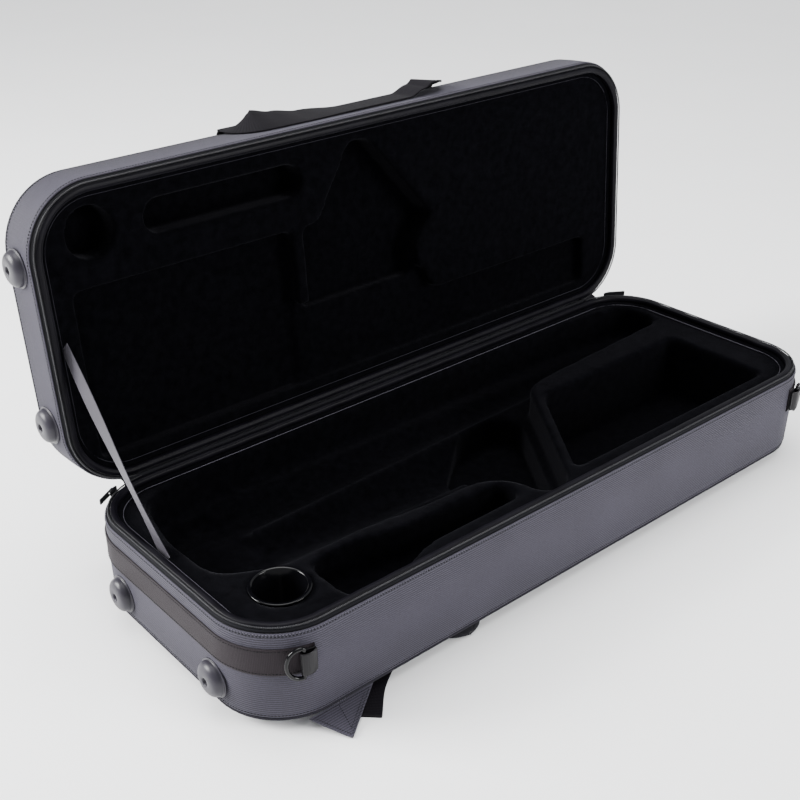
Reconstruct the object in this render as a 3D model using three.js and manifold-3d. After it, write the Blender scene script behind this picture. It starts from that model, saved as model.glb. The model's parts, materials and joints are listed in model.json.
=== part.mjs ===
// A zipped, fabric-covered tenor saxophone case, lying open, in millimetres.
// +X runs to the right along the case, -Y is the front, +Z is up.
// The origin is on the floor, under the middle of the open case.

import * as THREE from "three";
import { mergeVertices } from "three/addons/utils/BufferGeometryUtils.js";
import Module from "manifold-3d";

const wasm = await Module();
wasm.setup();

// The case as a whole
const caseLength = 880;
const caseWidth = 334;
const cornerRadius = 75;
const baseHeight = 106;
const lidHeight = 58;
const openDegrees = 94.4;
const openCentreY = 28;
const fitGap = 0.3;
const overrun = 5;

// Skin, tray and seam
const skinThickness = 1.6;
const shellThickness = 5;
const shellFloor = 4;
const shellDrop = 1.5;
const seamNotch = 5.4;
const pipingDiameter = 5;
const floorChamfer = 5.6;

// Rim and zip: each half of the case owns half of the zip's height
const zipZone = 5.8;
const tapeThickness = 1;
const tapeLean = 2;
const tapeRise = 2.8;
const coilDiameter = 2.4;
const lipInset = 5.2;
const lipWidth = 8.4;
const lipFoot = 1.2;
const lipCrown = 3;

// The hinge line runs just inside the back wall, between the two rims
const hingeInboard = 2.15;
const hingeRise = 2.36;
const hingeTapeThickness = 0.8;
const hingeTapeArch = 2.9;

// Feet, each with the head of its rivet sunk in the middle
const footDiameter = 42;
const footHeight = 12;
const footFlange = 2;
const footFlangeWidth = 1.8;
const footFlatDiameter = 15;
const rivetHole = 8;
const rivetRise = 4;
const rivetCrown = 1.4;
const endFootSpread = caseWidth / 2 - 80;
const endFootRise = (baseHeight * 30) / 106;
const bottomFootX = caseLength / 2 - 95;
const bottomFootY = caseWidth / 2 - 72;
const spineFootX = caseLength / 2 - 140;

// Bands, D-rings and tabs round the two ends
const bandWidth = (baseHeight * 31) / 106;
const bandThickness = 2;
const bandDrop = (baseHeight * 17) / 106;
const bandTail = 14;
const bandEndDegrees = 80;
const ringHeight = 39;
const ringReach = 20;
const ringRod = 4.4;
const ringDegrees = 71;
const tabThickness = 1.6;
const tabLength = 12.5;
const tabHeight = 26;

// Plush inserts
const insertDrop = 4.5;
const insertBorder = 18.5;
const cavityCorner = 20;
const pocketCorner = 10;
const bodyDepth = 43;
const bowDepth = 62;
const bellDepth = 84;
const neckDepth = 40;
const accessoryDepth = 86;
const troughDrop = 24;
const longTroughRadius = 40;
const longTroughEndRadius = 21;
const frontTroughRadius = 36;
const frontTroughEndRadius = 50;
const cupDiameter = 58;
const cupDepth = 62;
const cupWall = 1.4;
const cupRimWidth = 3;
const cupRimHeight = 2.2;
const lidBowDepth = 24;
const lidTubeDepth = 16;
const lidBellDepth = 38;
const lidSlotDepth = 35;
const lidSlotWidth = 38;
const lidWellDepth = 36;
const lidWellDiameter = 56;

// Zip sliders and their pulls
const sliderLength = 13;
const sliderWidth = 8;
const sliderNeckWidth = 5.6;
const sliderPlate = 1.4;
const sliderProud = 0.4;
const sliderDrop = 1;
const sliderFlange = 0.8;
const sliderDegrees = 32;
const crownLength = 8.4;
const crownHeight = 4;
const crownWidth = 2;
const crownBar = 1.4;
const pullLength = 26;
const pullWidth = 6.4;
const pullThickness = 1.3;
const pullBar = 1.6;
const pullEyeLength = 6.4;
const pullEyeWidth = 3;

// Webbing, padded straps and ribbon
const webWidth = 38;
const webThickness = 2;
const wingThickness = 2.4;
const padWidth = 64;
const padThickness = 8.4;
const padX = -177;
const padReach = 135;
const padSpread = 45;
const padBend = 44;
const patchX = 110;
const patchLength = 70;
const patchWidth = 190;
const patchThickness = 1.5;
const ribbonWidth = 20;
const ribbonThickness = 1;
const ribbonInset = 20;
const ribbonBaseY = 26;
const ribbonLidReach = 172;

// The carrying handle on the lid
const handleWidth = 38;
const handleThickness = 2.6;
const handleEye = 3;
const handleReach = 142;
const handleMiddle = -13;
const handleTurn = 22;
const handleAxisOut = 4;
const handleAxisDrop = 3;
const handleBulge = 16;
const handleLean = 28;
const anchorLength = 46;
const anchorThickness = 2;

// How finely curves are drawn
const cornerSteps = 8;
const roundSteps = 16;
const wellSteps = 20;
const rodSides = 8;
const cordSides = 6;
const filletSteps = 3;
const handleTurnSteps = 5;
const handleRunSteps = 12;

const halfLength = caseLength / 2;
const halfWidth = caseWidth / 2;
const cornerX = halfLength - cornerRadius;
const cornerY = halfWidth - cornerRadius;
const lidEdgeHeight = baseHeight + 2 * zipZone;
const closedHeight = lidEdgeHeight + lidHeight;
const hingeY = halfWidth - hingeInboard;
const hingeZ = baseHeight + hingeRise;
const trayOuter = skinThickness + fitGap;
const trayInner = trayOuter + shellThickness;
const openTurn = THREE.MathUtils.degToRad(openDegrees);

// Finishes
function finish(color, roughness, metalness = 0) {
  return new THREE.MeshStandardMaterial({ color, roughness, metalness });
}
const nylon = finish(0x57565e, 0.85);
const binding = finish(0x26262b, 0.7);
const board = finish(0x1d1d20, 0.9);
const vinyl = finish(0x202024, 0.45);
const plush = finish(0x0b0b0e, 1);
const zipCloth = finish(0x2c2c31, 0.8);
const zipNylon = finish(0x3a3a40, 0.5);
const webbing = finish(0x3b363c, 0.8);
const bandCloth = finish(0x5b5057, 0.8);
const glossPlastic = finish(0x111114, 0.2);
const footPlastic = finish(0x3a3a42, 0.4);
const ribbonCloth = finish(0x9a9098, 0.6);
const sliderMetal = finish(0x1b1b1f, 0.35, 0.7);
const padCloth = finish(0x232327, 0.85);

const at = (x, y, z) => new THREE.Vector3(x, y, z);

// The geometry with positions only, shared corners merged and faces turned outwards.
function tidy(geometry) {
  const bare = geometry.clone();
  bare.deleteAttribute("normal");
  bare.deleteAttribute("uv");
  const merged = mergeVertices(bare);
  const points = merged.attributes.position;
  const index = merged.index.array;
  const [a, b, c] = [at(0, 0, 0), at(0, 0, 0), at(0, 0, 0)];
  let volume = 0;
  for (let i = 0; i < index.length; i += 3) {
    a.fromBufferAttribute(points, index[i]);
    b.fromBufferAttribute(points, index[i + 1]);
    c.fromBufferAttribute(points, index[i + 2]);
    volume += a.dot(b.cross(c));
  }
  if (volume < 0) index.reverse();
  merged.computeVertexNormals();
  return merged;
}

function toSolid(geometry) {
  const merged = tidy(geometry);
  const vertProperties = merged.attributes.position.array;
  const triVerts = new Uint32Array(merged.index.array);
  return new wasm.Manifold(new wasm.Mesh({ numProp: 3, vertProperties, triVerts }));
}

function fromSolid(shape) {
  const mesh = shape.getMesh();
  const geometry = new THREE.BufferGeometry();
  geometry.setAttribute("position", new THREE.BufferAttribute(mesh.vertProperties, mesh.numProp));
  geometry.setIndex(new THREE.BufferAttribute(mesh.triVerts, 1));
  geometry.computeVertexNormals();
  return geometry;
}

function cut(geometry, cutters) {
  return fromSolid(cutters.reduce((left, cutter) => left.subtract(toSolid(cutter)), toSolid(geometry)));
}

function join(geometries) {
  return fromSolid(geometries.map(toSolid).reduce((left, right) => left.add(right)));
}

const mirrorX = (geometry) => tidy(geometry.clone().scale(-1, 1, 1));

// Triangles over a flat ring of points, found in the ring's own plane.
function capTriangles(ring) {
  const centre = ring.reduce((sum, point) => sum.add(point), at(0, 0, 0)).divideScalar(ring.length);
  const spokes = ring.map((point) => point.clone().sub(centre));
  const normal = at(0, 0, 0);
  spokes.forEach((spoke, i) => normal.add(spoke.clone().cross(spokes[(i + 1) % spokes.length])));
  normal.normalize();
  const side = spokes[0].clone().normalize();
  const up = normal.clone().cross(side);
  const flat = spokes.map((spoke) => new THREE.Vector2(spoke.dot(side), spoke.dot(up)));
  return THREE.ShapeUtils.triangulateShape(flat, []);
}

// A closed skin over rings of points: the last ring joins the first, or flat caps close both ends.
function skin(rings, closedLoop) {
  const count = rings[0].length;
  const index = [];
  const spans = closedLoop ? rings.length : rings.length - 1;
  for (let i = 0; i < spans; i++) {
    const here = i * count;
    const next = ((i + 1) % rings.length) * count;
    for (let j = 0; j < count; j++) {
      const k = (j + 1) % count;
      index.push(here + j, here + k, next + k, here + j, next + k, next + j);
    }
  }
  if (!closedLoop) {
    const end = spans * count;
    for (const [a, b, c] of capTriangles(rings[0])) index.push(a, c, b);
    for (const [a, b, c] of capTriangles(rings[spans])) index.push(end + a, end + b, end + c);
  }
  const geometry = new THREE.BufferGeometry();
  const numbers = rings.flat().flatMap((point) => point.toArray());
  geometry.setAttribute("position", new THREE.Float32BufferAttribute(numbers, 3));
  geometry.setIndex(index);
  return tidy(geometry);
}

// A point of the plan outline on one rounded corner, moved in by the inset.
// Corners count from the back left, anticlockwise seen from above, and the share runs along the arc.
function outlinePoint(corner, share, inset, z) {
  const angle = ((1 + corner + share) * Math.PI) / 2;
  const signX = corner < 2 ? -1 : 1;
  const signY = corner === 0 || corner === 3 ? 1 : -1;
  const radius = cornerRadius - inset;
  return at(signX * cornerX + radius * Math.cos(angle), signY * cornerY + radius * Math.sin(angle), z);
}

const cornerShares = Array.from({ length: cornerSteps + 1 }, (_, step) => step / cornerSteps);
function outlineStops(firstCorner) {
  const corners = [0, 1, 2, 3].map((step) => (firstCorner + step) % 4);
  return corners.flatMap((corner) => cornerShares.map((share) => [corner, share]));
}

// A section of [inset, height] points carried round the case from its first corner.
// It goes all the way, or ends at the fourth corner and leaves the hinge side free.
function roundTheCase(section, firstCorner, allTheWay) {
  const rings = outlineStops(firstCorner).map(([corner, share]) =>
    section.map(([inset, z]) => outlinePoint(corner, share, inset, z)),
  );
  return skin(rings, allTheWay);
}

// A block with the case's own outline, moved in by the inset of each [inset, height] layer.
function block(layers) {
  const rings = layers.map(([inset, z]) =>
    outlineStops(0).map(([corner, share]) => outlinePoint(corner, share, inset, z)),
  );
  return skin(rings, false);
}

// A profile of [y, z] points carried straight along X.
function alongX(profile, fromX, toX) {
  return skin(
    [fromX, toX].map((x) => profile.map(([y, z]) => at(x, y, z))),
    false,
  );
}

function circle(diameter, sides) {
  return Array.from({ length: sides }, (_, i) => {
    const angle = ((i + 0.5) * 2 * Math.PI) / sides;
    return [(diameter / 2) * Math.cos(angle), (diameter / 2) * Math.sin(angle)];
  });
}

// A polygon whose corners are rounded off, as a shape.
function roundedShape(points, radius) {
  const shape = new THREE.Shape();
  points.forEach((corner, i) => {
    const before = points[(i + points.length - 1) % points.length].clone().sub(corner);
    const after = points[(i + 1) % points.length].clone().sub(corner);
    const reach = Math.min(radius, before.length() * 0.45, after.length() * 0.45);
    const start = corner.clone().add(before.setLength(reach));
    const end = corner.clone().add(after.setLength(reach));
    if (i === 0) shape.moveTo(start.x, start.y);
    else shape.lineTo(start.x, start.y);
    shape.quadraticCurveTo(corner.x, corner.y, end.x, end.y);
  });
  shape.closePath();
  return shape;
}

function rectangle(length, width, radius) {
  const [x, y] = [length / 2, width / 2];
  const corners = [
    [-x, -y],
    [x, -y],
    [x, y],
    [-x, y],
  ];
  return roundedShape(
    corners.map((corner) => new THREE.Vector2(...corner)),
    radius,
  );
}

function prism(shape, fromZ, toZ) {
  const options = { depth: toZ - fromZ, bevelEnabled: false, curveSegments: filletSteps };
  return new THREE.ExtrudeGeometry(shape, options).translate(0, 0, fromZ);
}

// A turned solid whose axis is Z, from [radius, height] points that start and end on the axis.
function turned(profile, steps) {
  const points = profile.map(([radius, z]) => new THREE.Vector2(radius, z));
  return tidy(new THREE.LatheGeometry(points, steps).rotateX(Math.PI / 2));
}

// A flat strap through stations, each with its middle and its half width as a vector.
function strap(stations, thickness) {
  const last = stations.length - 1;
  const rings = stations.map(({ middle, across }, i) => {
    const along = stations[Math.min(i + 1, last)].middle.clone().sub(stations[Math.max(i - 1, 0)].middle);
    const out = along.cross(across).setLength(thickness / 2);
    const near = middle.clone().sub(across);
    const far = middle.clone().add(across);
    return [near.clone().sub(out), far.clone().sub(out), far.clone().add(out), near.clone().add(out)];
  });
  return skin(rings, false);
}

// Stations along a smooth curve through hand-placed stops, as wide as asked and square to the curve.
function stationsThrough(stops, width, steps) {
  const curve = new THREE.CatmullRomCurve3(stops);
  return Array.from({ length: steps + 1 }, (_, i) => {
    const along = curve.getTangentAt(i / steps);
    const across = at(-along.y, along.x, 0).setLength(width / 2);
    return { middle: curve.getPointAt(i / steps), across };
  });
}

// Where a point of the shut lid goes, in the plane across the hinge, when the lid stands open.
function opened(y, z) {
  const [fromY, fromZ] = [y - hingeY, z - hingeZ];
  return [
    hingeY + fromY * Math.cos(openTurn) + fromZ * Math.sin(openTurn),
    hingeZ + fromZ * Math.cos(openTurn) - fromY * Math.sin(openTurn),
  ];
}

function add(parent, name, geometry, material) {
  const mesh = new THREE.Mesh(geometry, material);
  mesh.name = name;
  parent.add(mesh);
  return mesh;
}

// The outer skin: walls and a flat face, with a notch round the seam between them for the piping.
function coverSkin(height) {
  const seamInner = seamNotch + skinThickness;
  const outside = block([
    [seamNotch, 0],
    [seamNotch, seamNotch],
    [0, seamNotch],
    [0, height],
  ]);
  const inside = block([
    [seamInner, skinThickness],
    [seamInner, seamInner],
    [skinThickness, seamInner],
    [skinThickness, height + overrun],
  ]);
  return cut(outside, [inside]);
}

// The rigid tray under the skin, stepped in round the seam and chamfered inside.
function trayShell(height) {
  const seamOuter = seamNotch + trayOuter;
  const floor = trayOuter + shellFloor;
  const outside = block([
    [seamOuter, trayOuter],
    [seamOuter, seamOuter],
    [trayOuter, seamOuter],
    [trayOuter, height - shellDrop],
  ]);
  const inside = block([
    [trayInner + floorChamfer, floor],
    [trayInner, floor + floorChamfer],
    [trayInner, height + overrun],
  ]);
  return cut(outside, [inside]);
}

function seamPiping() {
  const middle = seamNotch - fitGap - pipingDiameter / 2;
  const section = circle(pipingDiameter, rodSides).map(([x, z]) => [x + middle, z + middle]);
  return roundTheCase(section, 0, true);
}

// The padded rim, flat where it sits on the tray and round on top.
function rimLip(height) {
  const foot = height - lipFoot;
  const shoulder = height + zipZone - fitGap - lipCrown;
  const middle = lipInset + lipWidth / 2;
  const section = [
    [lipInset, foot],
    [lipInset + lipWidth, foot],
  ];
  for (let i = 0; i <= 5; i++) {
    const angle = (i * Math.PI) / 5;
    section.push([middle + (lipWidth / 2) * Math.cos(angle), shoulder + lipCrown * Math.sin(angle)]);
  }
  return roundTheCase(section, 0, true);
}

function zipTape(height, firstCorner) {
  const foot = height - lipFoot;
  const edge = height + tapeRise;
  return roundTheCase(
    [
      [trayOuter, foot],
      [trayOuter + tapeThickness, foot],
      [trayOuter + tapeThickness + tapeLean, edge],
      [trayOuter + tapeLean, edge],
    ],
    firstCorner,
    false,
  );
}

function zipCoil(height, firstCorner) {
  const inset = lipInset - fitGap - coilDiameter / 2;
  const middle = height + zipZone - fitGap - coilDiameter / 2;
  const section = circle(coilDiameter, cordSides).map(([x, z]) => [x + inset, z + middle]);
  return roundTheCase(section, firstCorner, false);
}

// The insert before its cavities are cut: a border that carries the rim, and a lower field inside it.
function insertBlock(height) {
  const outer = trayInner + fitGap;
  const floor = trayOuter + shellFloor + fitGap;
  const border = height - lipFoot - fitGap;
  return block([
    [outer + floorChamfer, floor],
    [outer, floor + floorChamfer],
    [outer, border],
    [lipInset + lipWidth, border],
    [insertBorder, height - insertDrop],
  ]);
}

// Cavities of the base insert, as shares of the half length and the half width
const bodyShares = [
  [-0.775, -0.375],
  [-0.905, -0.2],
  [-0.918, 0.24],
  [-0.875, 0.76],
  [-0.7, 0.85],
  [0.68, 0.835],
  [0.925, 0.765],
  [0.925, 0.385],
  [0.345, 0.29],
  [0.27, 0.24],
  [-0.012, -0.855],
  [-0.1, -0.86],
  [-0.118, -0.6],
  [-0.185, -0.46],
  [-0.35, -0.445],
  [-0.53, -0.385],
];
const bowShares = [
  [-0.72, -0.33],
  [-0.885, -0.2],
  [-0.9, 0.24],
  [-0.86, 0.7],
  [-0.7, 0.78],
  [-0.66, 0.24],
];
const bellShares = [
  [0.235, 0.2],
  [-0.022, -0.815],
  [-0.09, -0.82],
  [-0.12, -0.45],
  [-0.1, 0.1],
  [0.05, 0.4],
  [0.2, 0.42],
];
const neckShares = [
  [-0.728, -0.895],
  [-0.58, -0.895],
  [-0.47, -0.775],
  [-0.15, -0.765],
  [-0.15, -0.57],
  [-0.47, -0.55],
  [-0.59, -0.465],
  [-0.728, -0.465],
];
const accessoryShares = [
  [0.045, -0.765],
  [0.845, -0.765],
  [0.845, 0.085],
  [0.27, 0.085],
];
const cupPlaceShares = [-0.823, -0.55];
const longTroughShares = [-0.74, 0.9, 0.56];
const frontTroughShares = [-0.77, 0.14, 0.11];

// Cavities of the lid insert, seen from above with the case shut
const lidBowShares = [
  [-0.905, -0.32],
  [-0.275, -0.32],
  [-0.275, 0.83],
  [-0.905, 0.83],
];
const lidTubeShares = [
  [-0.31, 0.222],
  [0.165, 0.222],
  [0.2, 0.43],
  [0.85, 0.43],
  [0.85, 0.83],
  [-0.31, 0.83],
];
const lidBellShares = [
  [-0.24, -0.325],
  [-0.19, -0.325],
  [-0.07, -0.825],
  [0, -0.815],
  [0.212, -0.155],
  [0.145, 0.03],
  [0.15, 0.3],
  [-0.24, 0.3],
];
const lidSlotShares = [-0.695, -0.228, -0.655];
const lidWellShares = [-0.835, -0.66];

function fromShares(shares, flip) {
  return shares.map(([x, y]) => new THREE.Vector2(x * halfLength, flip * y * halfWidth));
}

// A pocket with upright walls, cut down from the insert's face. The lid's plan is flipped front to back.
function pocket(shares, flip, face, depth, radius) {
  return prism(roundedShape(fromShares(shares, flip), radius), face - depth, face + overrun);
}

function roundWell([xShare, yShare], flip, face, depth, diameter) {
  const well = new THREE.CylinderGeometry(diameter / 2, diameter / 2, depth + overrun, wellSteps);
  well.rotateX(Math.PI / 2);
  return well.translate(xShare * halfLength, flip * yShare * halfWidth, face - (depth - overrun) / 2);
}

// A round trough along X that tapers from one end to the other.
function trough([fromShare, toShare, yShare], z, fromRadius, toRadius) {
  const [fromX, toX] = [fromShare * halfLength, toShare * halfLength];
  const cone = new THREE.CylinderGeometry(toRadius, fromRadius, toX - fromX, wellSteps);
  cone.rotateZ(-Math.PI / 2);
  return cone.translate((fromX + toX) / 2, yShare * halfWidth, z);
}

function baseInsert() {
  const face = baseHeight - insertDrop;
  return cut(insertBlock(baseHeight), [
    pocket(bodyShares, 1, face, bodyDepth, cavityCorner),
    pocket(bowShares, 1, face, bowDepth, cavityCorner),
    pocket(bellShares, 1, face, bellDepth, cavityCorner),
    pocket(neckShares, 1, face, neckDepth, cavityCorner),
    pocket(accessoryShares, 1, face, accessoryDepth, pocketCorner),
    trough(longTroughShares, face - troughDrop, longTroughRadius, longTroughEndRadius),
    trough(frontTroughShares, face - troughDrop, frontTroughRadius, frontTroughEndRadius),
    roundWell(cupPlaceShares, 1, face, cupDepth, cupDiameter),
  ]);
}

// A straight slot with round ends, cut down from the lid insert's face.
function roundEndedSlot([fromShare, toShare, yShare], face) {
  const radius = lidSlotWidth / 2;
  const y = -yShare * halfWidth;
  const shape = new THREE.Shape();
  shape.absarc(toShare * halfLength - radius, y, radius, -Math.PI / 2, Math.PI / 2);
  shape.absarc(fromShare * halfLength + radius, y, radius, Math.PI / 2, (Math.PI * 3) / 2);
  const options = { depth: lidSlotDepth + overrun, bevelEnabled: false, curveSegments: cornerSteps };
  return new THREE.ExtrudeGeometry(shape, options).translate(0, 0, face - lidSlotDepth);
}

function lidInsert() {
  const face = lidHeight - insertDrop;
  return cut(insertBlock(lidHeight), [
    pocket(lidBowShares, -1, face, lidBowDepth, pocketCorner),
    pocket(lidTubeShares, -1, face, lidTubeDepth, pocketCorner),
    pocket(lidBellShares, -1, face, lidBellDepth, pocketCorner),
    roundEndedSlot(lidSlotShares, face),
    roundWell(lidWellShares, -1, face, lidWellDepth, lidWellDiameter),
  ]);
}

// The cup that lines the round well: a thin wall, a floor and a rolled rim on the insert's face.
function cupShell() {
  const outer = cupDiameter / 2 - fitGap;
  const inner = outer - cupWall;
  const rim = outer + cupRimWidth;
  const floor = fitGap - cupDepth;
  const top = fitGap + cupRimHeight;
  return turned(
    [
      [0, floor],
      [outer, floor],
      [outer, fitGap],
      [rim, fitGap],
      [rim, fitGap + cupRimHeight / 2],
      [rim - cupRimWidth / 3, top],
      [inner, top],
      [inner, floor + cupWall],
      [0, floor + cupWall],
    ],
    wellSteps,
  );
}

// A domed foot on a flange, with the rivet's head at the bottom of the hole in its flat tip.
function foot() {
  const hole = rivetHole / 2;
  const outer = footDiameter / 2;
  const dome = outer - footFlangeWidth;
  const tip = footFlatDiameter / 2;
  const profile = [
    [0, fitGap],
    [outer, fitGap],
    [outer, footFlange],
    [dome, footFlange],
  ];
  for (let i = 1; i <= 3; i++) {
    const angle = (i * Math.PI) / 8;
    const z = footFlange + (footHeight - footFlange) * Math.sin(angle);
    profile.push([tip + (dome - tip) * Math.cos(angle), z]);
  }
  profile.push([tip, footHeight], [hole, footHeight], [hole, rivetRise], [0, rivetRise + rivetCrown]);
  return turned(profile, roundSteps);
}

// Feet stand along a direction out of the wall that carries them.
function addFeet(parent, direction, places) {
  for (const [name, x, y, z] of places) {
    const mesh = add(parent, name, foot(), footPlastic);
    mesh.position.set(x, y, z);
    mesh.quaternion.setFromUnitVectors(at(0, 0, 1), direction);
  }
}

// The webbing band round the left end, from the D-ring's tab to just past the back corner.
function endBand() {
  const top = baseHeight - bandDrop;
  const bottom = top - bandWidth;
  const endShare = bandEndDegrees / 90;
  const across = (corner, share, tail) =>
    [
      [fitGap, bottom],
      [fitGap + bandThickness, bottom],
      [fitGap + bandThickness, top],
      [fitGap, top],
    ].map(([out, z]) => outlinePoint(corner, share, -out, z).add(at(tail, 0, 0)));
  const rings = [
    across(0, 0, bandTail),
    ...cornerShares.map((share) => across(0, share, 0)),
    ...cornerShares.map((share) => across(1, share * endShare, 0)),
  ];
  return skin(rings, false);
}

// Pieces at a corner are drawn with X along the wall, Z up and -Y out of the wall.
// The left one sits so many degrees round its corner and the right one is its mirror image.
function atCorner(parent, name, side, geometry, material, place) {
  const angle = THREE.MathUtils.degToRad(place.degrees);
  const radius = cornerRadius + place.out;
  const x = -cornerX + radius * Math.cos(angle);
  const y = place.cornerY + radius * Math.sin(angle);
  const mesh = add(parent, name + "_" + side.name, side.mirrored ? mirrorX(geometry) : geometry, material);
  mesh.position.set(side.mirrored ? -x : x, y, place.z);
  mesh.rotation.z = (side.mirrored ? -1 : 1) * (angle + Math.PI / 2);
}

// A D-ring: its bar stands on the Z axis and its bow reaches to -X.
function dRing() {
  const half = (ringHeight - ringRod) / 2;
  const bow = ringReach - ringRod / 2;
  const bend = ringRod * 0.8;
  const path = [
    [0, half - bend],
    [-bend * 0.3, half - bend * 0.3],
  ];
  for (let i = 0; i <= 8; i++) {
    const angle = Math.PI / 2 + (i * Math.PI) / 8;
    path.push([-bend + (bow - bend) * Math.cos(angle), half * Math.sin(angle)]);
  }
  path.push([-bend * 0.3, bend * 0.3 - half], [0, bend - half]);
  const rings = path.map(([x, z], i) => {
    const before = path[(i + path.length - 1) % path.length];
    const after = path[(i + 1) % path.length];
    const along = at(after[0] - before[0], 0, after[1] - before[1]).normalize();
    const side = at(0, 1, 0).cross(along);
    return circle(ringRod, rodSides).map(([out, y]) => at(x + side.x * out, y, z + side.z * out));
  });
  return skin(rings, true);
}

const ringEye = ringRod / 2 + fitGap;
const ringOut = bandThickness + 2 * fitGap + tabThickness + ringEye;

// The folded tab: an eye round the ring's bar, and two layers that follow the band to the sewn end.
function ringTab() {
  const eye = ringEye + tabThickness;
  const centre = cornerRadius + ringOut;
  const near = centre - eye;
  const far = near + 2 * tabThickness;
  const turn = tabLength / near;
  const shape = new THREE.Shape();
  shape.absarc(0, centre, near, turn - Math.PI / 2, -Math.PI / 2, true);
  shape.absarc(0, 0, eye, Math.PI / 2, (Math.PI * 3) / 2);
  shape.lineTo(far * Math.sin(turn), centre - far * Math.cos(turn));
  shape.closePath();
  const hole = new THREE.Path();
  hole.absarc(0, 0, ringEye, 0, 2 * Math.PI, true);
  shape.holes.push(hole);
  const options = { depth: tabHeight, bevelEnabled: false, curveSegments: rodSides };
  return tidy(new THREE.ExtrudeGeometry(shape, options).translate(0, 0, -tabHeight / 2));
}

// A zip slider: a plate that narrows to its tail, a flange round the base's half of the zip and a crown
// for the pull.
function zipSlider() {
  const [half, wide, neck] = [sliderLength / 2, sliderWidth / 2, sliderNeckWidth / 2];
  const outline = [
    [-half, -neck],
    [0, -wide],
    [half, -wide],
    [half, wide],
    [0, wide],
    [-half, neck],
  ].map(([x, y]) => new THREE.Vector2(x, y));
  const plate = prism(roundedShape(outline, sliderPlate), 0, sliderPlate);
  const flange = rectangle(half - sliderPlate, sliderFlange, sliderFlange / 4);
  const lip = prism(flange, -sliderFlange, sliderPlate / 2).translate(half / 2, sliderFlange - wide, 0);
  const [outer, inner] = [crownLength / 2, crownLength / 2 - crownBar];
  const [low, top] = [sliderPlate / 2, sliderPlate + crownHeight];
  const crown = new THREE.Shape(
    [
      [-outer, low],
      [-inner, low],
      [-inner, top - crownBar],
      [inner, top - crownBar],
      [inner, low],
      [outer, low],
      [outer, top - crownBar],
      [inner, top],
      [-inner, top],
      [-outer, top - crownBar],
    ].map(([x, y]) => new THREE.Vector2(x, y)),
  );
  const bridge = prism(crown, -crownWidth / 2, crownWidth / 2).rotateX(Math.PI / 2);
  return join([plate, lip, bridge]).rotateX(Math.PI / 2);
}

const pullRise = sliderPlate + (crownHeight - crownBar) / 2;

// A pull whose bar passes under the crown, with an eye for the crown and a flat tongue.
function zipPull() {
  const back = pullBar / 2;
  const shape = rectangle(pullLength, pullWidth, pullBar / 2);
  const eye = new THREE.Path();
  const [near, far] = [back - (pullLength / 2 - back), back + pullEyeLength - (pullLength / 2 - back)];
  eye.moveTo(near, -pullEyeWidth / 2);
  eye.lineTo(near, pullEyeWidth / 2);
  eye.lineTo(far, pullEyeWidth / 2);
  eye.lineTo(far, -pullEyeWidth / 2);
  eye.closePath();
  shape.holes.push(eye);
  const tongue = prism(shape, -pullThickness / 2, pullThickness / 2);
  return tidy(tongue.translate(pullLength / 2 - back, 0, 0).rotateX(Math.PI / 2));
}

// A fabric wing that slopes from the bottom seam down to the floor.
const wingShares = [
  [-0.88, -0.985],
  [-0.83, -1.22],
  [-0.7, -0.985],
];
function strapWing(front) {
  const heights = [-fitGap, fitGap + wingThickness - footHeight, -fitGap];
  const upper = fromShares(wingShares, front).map(({ x, y }, i) => at(x, y, heights[i]));
  return skin([upper, upper.map((point) => point.clone().sub(at(0, 0, wingThickness)))], false);
}

// Webbing along the floor, from under the wing to the side of the padded strap
const webShares = [
  [-0.772, -1.12],
  [-0.7, -0.93],
  [-0.61, -0.78],
  [-0.54, -0.7],
];
function wingWebbing(front) {
  const level = fitGap + webThickness / 2 - footHeight;
  const stops = fromShares(webShares, front).map(({ x, y }) => at(x, y, level));
  stops.push(at(padX - padWidth / 2 - fitGap, stops[stops.length - 1].y, level));
  return strap(stationsThrough(stops, webWidth, 10), webThickness);
}

// A padded strap stowed under the case: a round end near the front edge, a quarter bend, a run to its patch.
function paddedStrap(front) {
  const low = fitGap + padThickness / 2 - footHeight;
  const high = -2 * fitGap - patchThickness - padThickness / 2;
  const station = (x, y, z, turn) => ({
    middle: at(x, front * y, z),
    across: at(-Math.cos(turn), front * Math.sin(turn), 0).setLength(padWidth / 2),
  });
  const stations = [station(padX, -padReach, low, 0)];
  for (let i = 0; i <= cornerSteps; i++) {
    const turn = (i * Math.PI) / 2 / cornerSteps;
    const [x, y] = [padX + padBend * (1 - Math.cos(turn)), padBend * (Math.sin(turn) - 1) - padSpread];
    stations.push(station(x, y, low, turn));
  }
  stations.push(station(patchX, -padSpread, high, Math.PI / 2));
  const end = new THREE.CylinderGeometry(padWidth / 2, padWidth / 2, padThickness, wellSteps);
  end.rotateX(Math.PI / 2).translate(padX, -front * padReach, low);
  return join([strap(stations, padThickness), end]);
}

// The ribbon that holds the open lid, cut to lie on the faces of both inserts.
function stayRibbon() {
  const from = new THREE.Vector2(ribbonBaseY, baseHeight - insertDrop + fitGap);
  const to = new THREE.Vector2(...opened(hingeY - ribbonLidReach, lidEdgeHeight + insertDrop - fitGap));
  const along = to.clone().sub(from).normalize();
  const ends = [
    [from, new THREE.Vector2(1, 0)],
    [to, new THREE.Vector2(Math.cos(openTurn), -Math.sin(openTurn))],
  ];
  const [[a, b], [c, d]] = ends.map(([middle, edge]) => {
    const half = edge.clone().multiplyScalar(ribbonWidth / 2 / Math.abs(along.cross(edge)));
    return [middle.clone().sub(half).toArray(), middle.clone().add(half).toArray()];
  });
  const x = ribbonInset - halfLength;
  return alongX([a, b, d, c], x, x + ribbonThickness);
}

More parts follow.
